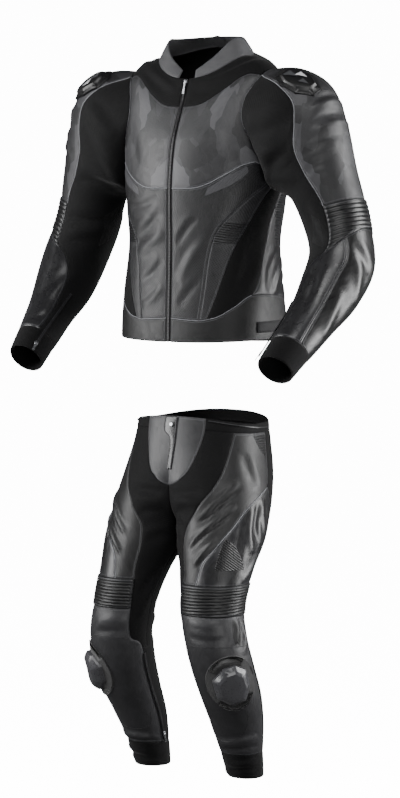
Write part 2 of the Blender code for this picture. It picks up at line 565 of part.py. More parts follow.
def build_leg(letter, side):
    stretch = finish("stretch_leg_" + letter, STRETCH, 0.8)
    grey = finish("cowhide_thigh_" + letter, LEATHER, 0.45)
    gloss = finish("embossed_cowhide_" + letter, GREY_LEATHER, 0.3)
    fly = joined(fly_edge(), fly_bottom())
    seam = line(STRETCH_SEAM, 14)
    knee_inner = line(((53, KNEE_TOP), (46, KNEE_BOTTOM)), 2)
    inner_shin = line(SHIN_INNER, 3, KNEE_BOTTOM, STRETCH_END)
    stretch_edge = joined(seam, knee_inner, inner_shin)
    inseam = line(((0, 2.31), (0, STRETCH_END)), len(stretch_edge) - len(fly))
    cloth("stretch_front_" + letter, leg,
          patch(level(52, 111, WAISTBAND_SEAM, 4), level(0, 12, STRETCH_END, 4), joined(fly, inseam),
                stretch_edge), stretch, side, draw=SEAM_GAP)
    side_line = line(LEG_SIDE[:2], 5)
    diagonal = line(THIGH_DIAGONAL, 8)
    cloth("thigh_front_" + letter, leg,
          patch(level(111, 196, WAISTBAND_SEAM, 4), level(53, 88, KNEE_TOP, 4), seam,
                joined(side_line, np.stack([side_line[-1], diagonal[0]]), diagonal)), grey, side)
    outer = line(LEG_SIDE[2:], 8)
    cloth("thigh_outer_" + letter, leg,
          patch(np.stack([diagonal[0], outer[0]])[[0, 0, 0, 0, 0, 0]] * (1, 1)
                + (outer[0] - diagonal[0]) * np.linspace(0, 1, 6)[:, None],
                level(88, 225, KNEE_TOP, 5), diagonal, outer), gloss, side)
    knee_low = level(46, 215, KNEE_BOTTOM, 9)
    knee_high = joined(level(53, 88, KNEE_TOP, 4), level(88, 225, KNEE_TOP, 5))
    knee_outer = line(((225, KNEE_TOP), (215, KNEE_BOTTOM)), 2)
    cloth("knee_accordion_" + letter, leg, patch(knee_high, knee_low, knee_inner, knee_outer), grey, side)
    shin_inner = joined(inner_shin, line(SHIN_INNER, 5, STRETCH_END, LEG_CUFF))
    shin_outer = line(SHIN_OUTER, 8)
    cloth("shin_" + letter, leg,
          patch(knee_low, level(6, 200, LEG_CUFF, 9), shin_inner, shin_outer), grey, side)
    back_left = joined(side_line, np.stack([side_line[-1], outer[0]]), outer, knee_outer, shin_outer)
    calf = line(SHIN_INNER, 5, STRETCH_END, LEG_CUFF) + (360, 0)
    step = np.array([[360, STRETCH_END], calf[0]])
    count = len(back_left) - len(inseam) - len(step) - len(calf) + 2
    back_right = joined(line(((360, WAISTBAND_SEAM), (360, 2.31)), count), inseam + (360, 0), step, calf)
    cloth("leg_back_" + letter, leg,
          patch(level(196, 360, WAISTBAND_SEAM, 5), level(200, 366, LEG_CUFF, 5), back_left, back_right),
          stretch, side)
    top = joined(level(6, 200, LEG_CUFF, 9), level(200, 366, LEG_CUFF, 5))
    ring = np.stack([top, top * (1, 0) + (0, LEG_END)], 1)
    cloth("leg_cuff_" + letter, leg, ring, finish("stretch_leg_cuff_" + letter, STRETCH, 0.85), side,
          closed=True)


# ---- sewn-on hard parts ---------------------------------------------------------------------------------

def local_frame(surface, place, side):
    """Point, outward normal and the two directions of a place on a surface, as the rows of a frame."""
    grid = np.array([[place]], float)
    point = surface(grid[..., 0], grid[..., 1])[0, 0] * (side, 1, 1)
    normal = outward(surface, grid)[0, 0] * (side, 1, 1)
    down = surface(grid[..., 0], grid[..., 1] + 0.05)[0, 0] * (side, 1, 1) - point
    down -= normal * down.dot(normal)
    down /= np.linalg.norm(down)
    return point, normal, down, np.cross(normal, down)


def on_surface(surface, place, side, offsets):
    """Surface coordinates that lie the given (across, down) metres from a place, in its tangent plane."""
    origin, _, down, across = local_frame(surface, place, side)
    step = 0.02

    def plane_position(turn, ring):
        apart = surface(turn, ring) * (side, 1, 1) - origin
        return np.stack([apart @ across, apart @ down], -1)

    target = np.array(offsets, float)
    turn, ring = np.full(len(target), float(place[0])), np.full(len(target), float(place[1]))
    for _ in range(12):
        here = plane_position(turn, ring)
        by_turn = (plane_position(turn + 40 * step, ring) - here) / (40 * step)
        by_ring = (plane_position(turn, ring + step) - here) / step
        slopes = np.stack([by_turn, by_ring], -1)
        change = np.linalg.solve(slopes, (target - here)[..., None])[..., 0]
        turn = turn + np.clip(change[:, 0], -25, 25)
        ring = ring + np.clip(change[:, 1], -0.6, 0.6)
    return np.stack([turn, ring], -1)


def raised_plate(name, surface, place, side, outline, profile, base, lift, material):
    """A plate that follows the cloth underneath and rises in steps along its own normal.

    outline gives the (across, down) of points round it, profile the (share of the outline, height) of each
    step.  base stands it off along the cloth's own normals, lift along the plate's.
    """
    origin, normal, _, _ = local_frame(surface, place, side)
    outline = np.array(outline)
    shares = np.linspace(0, 1, 4)
    feet = []
    for share in shares:
        spots = on_surface(surface, place, side, outline * share)
        away = outward(surface, spots)
        feet.append((surface(*spots.T) + away * base) * (side, 1, 1))
    feet = np.array(feet)
    low = [foot + normal * lift for foot in feet[1:]]
    high = []
    for share, height in profile:
        first = min(int(share * 3 + 1e-6), 2)
        mix = share * 3 - first
        high.append(feet[first] * (1 - mix) + feet[first + 1] * mix + normal * (lift + height))
    origin = feet[0][0] + normal * lift
    centre = origin
    shape = bmesh.new()
    loops = [[shape.verts.new(point) for point in ring] for ring in low + high]
    count = len(outline)
    for first, second in zip(loops, loops[1:]):
        for k in range(count):
            shape.faces.new((first[k], first[(k + 1) % count], second[(k + 1) % count], second[k]))
    for loop, point in ((loops[0], centre), (loops[-1], centre + normal * profile[-1][1])):
        tip = shape.verts.new(point)
        for k in range(count):
            shape.faces.new((loop[k], loop[(k + 1) % count], tip))
    bmesh.ops.recalc_face_normals(shape, faces=shape.faces)
    return add_object(name, shape, material)


def rounded(half_across, half_down, count, squareness=2.0):
    """An outline between an ellipse (2) and a rectangle."""
    turns = np.linspace(0, 2 * math.pi, count, endpoint=False)
    return [(half_across * signed_power(math.cos(t), 2 / squareness),
             half_down * signed_power(math.sin(t), 2 / squareness)) for t in turns]


def cornered(corners, half_across, half_down, steps):
    """An outline through corners, with each straight side in equal steps."""
    corners = np.array(corners) * (half_across, half_down)
    points = []
    for here, after in zip(corners, np.roll(corners, -1, 0)):
        points += [here + (after - here) * k / steps for k in range(steps)]
    return points


def build_knee(letter, side):
    place, half_across, half_down = KNEE_PAD
    pad = finish("hook_and_loop_" + letter, BLACK_TRIM, 0.95)
    raised_plate("knee_pad_" + letter, leg, place, side, rounded(half_across, half_down, 20),
                 ((1.0, KNEE_PAD_WALL), (2 / 3, KNEE_PAD_WALL), (1 / 3, KNEE_PAD_WALL)),
                 KNEE_PAD_LIFT, 0.0, pad)
    place, half_across, half_down = KNEE_PUCK
    hexagon = ((-0.25, -1), (0.45, -1), (1, -0.5), (1, 0.35), (0.5, 1), (-0.4, 1), (-1, 0.5), (-1, -0.45))
    puck = finish("puck_" + letter, (0.09, 0.09, 0.095), 0.3)
    raised_plate("knee_puck_" + letter, leg, place, side, cornered(hexagon, half_across, half_down, 2),
                 ((1.0, 0.007), (0.80, PUCK_HEIGHT - 0.004), (0.62, PUCK_HEIGHT), (0.3, PUCK_HEIGHT)),
                 KNEE_PAD_LIFT, KNEE_PAD_WALL + PUCK_CLEARANCE, puck)


def build_shoulder_plate(letter, side):
    place, half_across, half_down = SHOULDER_PLATE
    corners = ((-0.55, -1), (0.35, -1), (1, -0.55), (1, 0.3), (0.45, 1), (-0.35, 1), (-1, 0.35), (-1, -0.5))
    raised_plate("shoulder_plate_" + letter, sleeve, place, side,
                 cornered(corners, half_across, half_down, 2),
                 ((1.0, 0.004), (0.75, SHOULDER_PLATE_HEIGHT), (0.3, SHOULDER_PLATE_HEIGHT)),
                 SHOULDER_PLATE_LIFT, 0.0, finish("shoulder_shell_" + letter, (0.03, 0.03, 0.032), 0.35))


def box(shape, low, high):
    """Adds a box between two corners to a bmesh and returns its vertices."""
    low, high = Vector(low), Vector(high)
    made = bmesh.ops.create_cube(shape, size=1)["verts"]
    bmesh.ops.scale(shape, vec=high - low, verts=made)
    bmesh.ops.translate(shape, vec=(low + high) / 2, verts=made)
    return made


def put(shape, verts, frame):
    """Moves vertices from a fitting's own axes (across, outwards, down) to its place on the suit."""
    origin, normal, down, across = frame
    turned = Matrix((across, normal, down)).transposed().to_4x4()
    bmesh.ops.transform(shape, matrix=Matrix.Translation(Vector(origin)) @ turned, verts=verts)


def build_tape(name, surface, route, side, lift, count):
    """A zip's tape with its closed chain, sewn on the cloth along a route."""
    offsets = [(-SMALL_ZIP_WIDTH / 2, 0.0), (0.0, 0.0), (SMALL_ZIP_WIDTH / 2, 0.0)]
    grid = [on_surface(surface, place, side, offsets) for place in line(route, count)]
    grid = np.transpose(np.array(grid), (1, 0, 2))
    if (grid[0, 0, 0] > grid[-1, 0, 0]):
        grid = grid[::-1]
    return cloth(name, surface, grid, finish(name + "_tape", BLACK_TRIM, 0.8), side, wall=TAPE_WALL,
                 lift=lift)


def add_slider(tape, frame, top):
    """Joins a slider to its tape: a body and two ears, between which the pull's barrel turns."""
    blocks = [((-SLIDER_HALF, top - SLIDER_SINK, -SLIDER_LENGTH / 2), (SLIDER_HALF, top + SLIDER_THICK,
                                                                      SLIDER_LENGTH / 2))]
    near, far = BARREL_HALF + PULL_PLAY, BARREL_HALF + PULL_PLAY + EAR_WALL
    for left, right in ((-far, -near), (near, far)):
        blocks.append(((left, top + SLIDER_THICK / 2, -EAR_HALF), (right, top + SLIDER_THICK + EAR_HEIGHT,
                                                                  EAR_HALF)))
    for low, high in blocks:
        shape = bmesh.new()
        box(shape, low, high)
        put(shape, shape.verts, frame)
        union(tape, shape)


def union(body, shape):
    """Joins a closed bmesh to an object with a Boolean, leaving the joined piece among the cutters."""
    mesh = bpy.data.meshes.new(body.name + "_joined")
    shape.to_mesh(mesh)
    shape.free()
    other = bpy.data.objects.new(mesh.name, mesh)
    other.hide_render = True
    other.display_type = "WIRE"
    CUTTERS.objects.link(other)
    join = body.modifiers.new("join", "BOOLEAN")
    join.operation = "UNION"
    join.solver = "EXACT"
    join.object = other


def build_pull(name, frame, bottom, length):
    """Pull tab: a barrel on the hinge line and a tapering tab that hangs from it."""
    hinge = bottom + SLIDER_THICK + EAR_HEIGHT / 2
    origin, normal, down, across = frame
    pin = Vector(origin + normal * hinge)
    turned = Matrix((across, normal, down)).transposed()
    shape = bmesh.new()
    made = bmesh.ops.create_cone(shape, cap_ends=True, segments=12, radius1=BARREL_RADIUS,
                                 radius2=BARREL_RADIUS, depth=2 * BARREL_HALF)["verts"]
    bmesh.ops.rotate(shape, cent=(0, 0, 0), matrix=Matrix.Rotation(math.pi / 2, 3, "Y"), verts=made)
    bmesh.ops.rotate(shape, cent=(0, 0, 0), matrix=turned, verts=made)
    pull = add_object(name, shape, finish(name + "_nickel", NICKEL, 0.3, 1.0))
    pull.location = pin
    shape = bmesh.new()
    verts = box(shape, (-PULL_HALF, -TAB_WALL / 2, 0.0002), (PULL_HALF, TAB_WALL / 2, length))
    for vert in verts:
        if vert.co.z < length / 2:
            vert.co.x *= NECK_SHARE
    bmesh.ops.rotate(shape, cent=(0, 0, 0), matrix=turned, verts=verts)
    bmesh.ops.translate(shape, vec=pin, verts=verts)
    union(pull, shape)
    return pull


def build_fittings():
    """Front zip with its slider at the top, and the sleeve and calf zips with theirs at the lower end."""
    ring = np.linspace(0.02, 7.86, 23)
    half = np.degrees(np.arcsin(((ZIP_WIDTH / 2 - SEAM_GAP / 2) / spline(np.array(TORSO), ring)[:, 3])
                                ** (spline(np.array(TORSO), ring)[:, 7] / 2)))
    grid = np.stack([np.stack([half * share, ring], -1) for share in (-1, 0, 1)])
    tape = cloth("front_zip", torso, grid, finish("front_zip_tape", BLACK_TRIM, 0.8), wall=TAPE_WALL)
    place = (0.0, FRONT_SLIDER_RING)
    point, normal, down, across = local_frame(torso, place, 1)
    frame = (point, normal, -down, -across)
    add_slider(tape, frame, TAPE_WALL)
    build_pull("front_pull", frame, TAPE_WALL, FRONT_PULL_LENGTH)
    for letter, side in (("L", 1), ("R", -1)):
        for name, surface, route, lift, count in (("cuff_zip", sleeve, CUFF_ZIP, CUFF_ZIP_LIFT, 9),
                                                  ("calf_zip", leg, CALF_ZIP, CALF_ZIP_LIFT, 10)):
            tape = build_tape(f"{name}_{letter}", surface, route, side, lift, count)
            frame = local_frame(surface, (route[-1][0], route[-1][1] - SLIDER_BACK), side)
            add_slider(tape, frame, lift + TAPE_WALL)
            build_pull(f"{name}_pull_{letter}", frame, lift + TAPE_WALL, SMALL_PULL_LENGTH)


SUIT = CUTTERS = None


def main():
    global SUIT, CUTTERS
    clear_scene()
    SUIT = new_collection("motorcycle_race_suit")
    CUTTERS = new_collection("cutters")
    CUTTERS.hide_render = True
    build_yoke_and_collar()
    both_sides(build_front_panels)
    build_back()
    both_sides(build_hem)
    both_sides(build_sleeve)
    build_waist()
    both_sides(build_leg)
    both_sides(build_knee)
    both_sides(build_shoulder_plate)
    build_fittings()


main()
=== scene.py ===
"""Looks of a two-piece motorcycle race suit, laid out as an add-on: hollow leather jacket above its trousers.

Metres, +Z up, the front faces -Y and the wearer's left is +X.  Every cloth piece is a patch of a garment
surface (torso, collar, sleeve or leg) between its seams.  Soft folds are laid on the surface, then the
piece gets its wall.
"""

import math

import bmesh
import bpy
import numpy as np
from mathutils import Matrix, Vector


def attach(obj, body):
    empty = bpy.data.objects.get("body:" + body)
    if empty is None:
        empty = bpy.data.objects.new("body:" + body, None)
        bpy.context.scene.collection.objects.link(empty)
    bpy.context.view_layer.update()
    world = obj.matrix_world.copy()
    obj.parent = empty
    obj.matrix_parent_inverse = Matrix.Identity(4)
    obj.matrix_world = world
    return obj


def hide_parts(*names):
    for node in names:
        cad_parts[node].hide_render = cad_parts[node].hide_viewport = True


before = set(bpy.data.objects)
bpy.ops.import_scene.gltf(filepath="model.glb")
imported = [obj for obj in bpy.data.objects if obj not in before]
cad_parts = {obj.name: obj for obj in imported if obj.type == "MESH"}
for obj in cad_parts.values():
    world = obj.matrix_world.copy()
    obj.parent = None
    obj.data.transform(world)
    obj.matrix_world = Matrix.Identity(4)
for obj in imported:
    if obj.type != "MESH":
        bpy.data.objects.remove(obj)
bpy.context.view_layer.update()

bl_info = {
    "name": "Motorcycle race suit",
    "version": (1, 0, 0),
    "blender": (4, 5, 0),
    "location": "3D View > Sidebar > Race suit",
    "description": "Builds a two-piece leather race suit on its CAD frame",
    "category": "Object",
}

BODY = "suit"

# ---- the garment's sizes ----------------------------------------------------------------------------------

SEAM_GAP = 0.0003
ZIP_WIDTH, SMALL_ZIP_WIDTH = 0.0130, 0.0100
COLLAR_LIFT, SLEEVE_LIFT = 0.0018, 0.0034
FIRST_CLOSED_RING, INSEAM_REACH = 4, 60

# Torso rings, hem first: front_z side_z back_z half_width front_y side_y back_y power
TORSO = (
    (-0.612, -0.606, -0.625, 0.190, -0.1500, 0.000, 0.145, 2.5),
    (-0.522, -0.512, -0.530, 0.184, -0.1470, 0.000, 0.140, 2.5),
    (-0.400, -0.400, -0.400, 0.170, -0.1430, 0.004, 0.138, 2.5),
    (-0.310, -0.310, -0.310, 0.177, -0.1440, 0.008, 0.152, 2.5),
    (-0.240, -0.240, -0.235, 0.186, -0.1420, 0.008, 0.160, 2.4),
    (-0.165, -0.130, -0.150, 0.190, -0.1300, 0.006, 0.155, 2.3),
    (-0.110, -0.027, -0.058, 0.190, -0.1080, 0.002, 0.138, 2.2),
    (-0.070, 0.016, 0.016, 0.158, -0.0900, 0.000, 0.115, 2.2),
    (-0.022, 0.030, 0.055, 0.113, -0.0735, 0.008, 0.090, 2.2),
)
COLLAR_TOP = (0.000, 0.070, 0.076, 0.089, -0.0600, 0.004, 0.076, 2.2)

# Armhole seam, once round from the armpit past the front: torso angle, torso ring
ARMHOLE = (
    (92, 3.80), (78, 4.15), (62, 4.70), (50, 5.35), (52, 5.90), (67, 6.25),
    (88, 6.40), (112, 6.30), (126, 5.90), (130, 5.30), (120, 4.70), (106, 4.15),
)

# Left sleeve rings: outer_x outer_z inner_x inner_z centre_y half_depth bend power
SLEEVE = (
    (0.252, -0.003, 0.196, -0.268, 0.002, 0.098, 0.0, 2.2),
    (0.318, -0.038, 0.208, -0.274, 0.002, 0.092, 0.0, 2.2),
    (0.356, -0.116, 0.226, -0.282, 0.004, 0.084, 0.0, 2.1),
    (0.379, -0.225, 0.246, -0.300, 0.012, 0.077, 0.0, 2.1),
    (0.406, -0.330, 0.270, -0.365, 0.022, 0.074, 5.0, 2.1),
    (0.431, -0.425, 0.291, -0.425, 0.004, 0.076, 22.0, 2.1),
    (0.424, -0.490, 0.296, -0.490, -0.045, 0.070, 42.0, 2.1),
    (0.405, -0.550, 0.301, -0.550, -0.110, 0.054, 50.0, 2.1),
    (0.390, -0.598, 0.299, -0.598, -0.166, 0.047, 50.0, 2.1),
    (0.380, -0.633, 0.296, -0.633, -0.209, 0.042, 50.0, 2.0),
    (0.374, -0.656, 0.294, -0.656, -0.236, 0.040, 50.0, 2.0),
)

# Left leg rings, waist first: front_z outer_z back_z centre_x centre_y half_width front back power
LEG = (
    (-0.782, -0.800, -0.784, 0.000, -0.004, 0.1520, 0.118, 0.118, 2.3),
    (-0.845, -0.850, -0.845, 0.014, -0.010, 0.1440, 0.122, 0.126, 2.3),
    (-0.915, -0.915, -0.915, 0.043, -0.026, 0.1290, 0.124, 0.132, 2.2),
    (-0.985, -0.985, -0.985, 0.075, -0.052, 0.1110, 0.114, 0.122, 2.1),
    (-1.055, -1.055, -1.055, 0.098, -0.082, 0.0955, 0.098, 0.104, 2.1),
    (-1.125, -1.125, -1.125, 0.109, -0.117, 0.0790, 0.080, 0.082, 2.1),
    (-1.200, -1.200, -1.200, 0.117, -0.147, 0.0700, 0.068, 0.068, 2.1),
    (-1.270, -1.270, -1.270, 0.128, -0.152, 0.0680, 0.066, 0.066, 2.2),
    (-1.340, -1.340, -1.340, 0.135, -0.134, 0.0670, 0.068, 0.070, 2.2),
    (-1.410, -1.410, -1.410, 0.138, -0.104, 0.0650, 0.067, 0.070, 2.1),
    (-1.480, -1.480, -1.480, 0.133, -0.069, 0.0570, 0.057, 0.060, 2.1),
    (-1.550, -1.550, -1.550, 0.129, -0.043, 0.0470, 0.046, 0.048, 2.0),
    (-1.610, -1.610, -1.610, 0.128, -0.024, 0.0400, 0.039, 0.040, 2.0),
)

# Seams, as (angle or turn, ring) along each line
YOKE_FRONT = ((0, 6.62), (14, 6.60), (30, 6.78), (50, 6.85), (62, 6.72))
YOKE_BACK = ((128, 6.20), (150, 6.10), (180, 6.05))
CHEST_HEM = ((0, 3.60), (15, 3.62), (25, 3.75), (36, 3.98), (52, 4.25), (66, 4.33))
STRIP_FRONT = ((19, 0.61), (23.5, 1.31), (29, 1.95), (36, 2.45), (53, 3.00), (66, 3.40))
STRIP_BACK = ((25, 0.63), (37, 1.31), (55, 2.10), (65, 2.54), (74, 3.00), (81, 3.40))
SIDE_SEAM = ((66, 1.07), (73, 1.25), (82, 1.75), (87.5, 2.16), (90, 2.77), (95, 3.30))
HEM_SEAM = ((0, 0.66), (19, 0.61), (25, 0.63), (34, 0.68), (49, 0.86), (66, 1.07), (90, 1.05), (130, 0.90),
            (180, 0.86))
SLEEVE_FRONT = ((158, 0.00), (134, 0.94), (122, 1.76), (108, 2.20), (93, 2.75), (93, 3.60), (102, 4.30),
                (104, 4.60), (100, 5.40), (88, 6.20), (66, 6.70), (45, 7.40), (43, 8.60), (54, 9.50))
SLEEVE_BACK = ((208, 0.00), (228, 1.00), (240, 2.00), (249, 3.00), (246, 4.30), (243, 4.60), (241, 5.40),
               (250, 6.50), (260, 8.00), (262, 9.50))
ELBOW_HEM = ((88, 6.20), (110, 5.80), (127, 5.55), (160, 5.30), (200, 5.25), (241, 5.40))
FOREARM_SEAM = ((132, 5.50), (131, 6.50), (132, 7.50), (145, 9.00), (150, 9.50))
FLY_EDGE = ((53, 0.00), (52, 0.50), (44, 1.10), (33, 1.80), (20, 2.15))
FLY_BOTTOM = ((20, 2.15), (9, 2.27), (0, 2.31))
STRETCH_SEAM = ((111, 0.50), (95, 1.70), (81, 2.35), (66, 2.85), (61, 3.50), (66, 4.10), (58, 5.00),
                (53, 5.35))
THIGH_DIAGONAL = ((192.5, 2.42), (148, 3.00), (130, 3.67), (115, 4.23), (98, 4.70), (88, 5.35))
HIP_SIDE = ((196, 0.50), (196, 2.30))
THIGH_SIDE = ((197, 2.42), (212, 3.20), (226, 4.20), (225, 5.35))
SHIN_INNER = ((46, 6.25), (38, 7.20), (12, 7.60), (8, 9.50), (6, 11.00))
SHIN_OUTER = ((215, 6.25), (205, 7.30), (200, 9.00), (200, 11.00))
KNEE_TOP, KNEE_BOTTOM, LEG_CUFF, LEG_END = 5.35, 6.25, 11.0, 12.0
STRETCH_END, WAISTBAND_SEAM = 7.60, 0.50
CAP_END, SLEEVE_CUFF, SLEEVE_END = 4.60, 9.50, 11.0
CHEST_END, STRIP_END, SIDE_END, BACK_TURN, YOKE_TURN, SHOULDER_BACK = 36, 15, 4, -18, 158, 208

# Hard parts: centre (turn, ring), half sizes
KNEE_PAD = ((134, 8.42), 0.055, 0.070)
KNEE_PUCK = ((134, 8.42), 0.040, 0.046)
SHOULDER_PLATE = ((150, 1.45), 0.034, 0.052)
CUFF_ZIP = ((22, 7.70), (27, 8.43), (35, 9.40), (41, 10.60))
CALF_ZIP = ((10, 7.80), (8, 9.50), (6, 10.90))

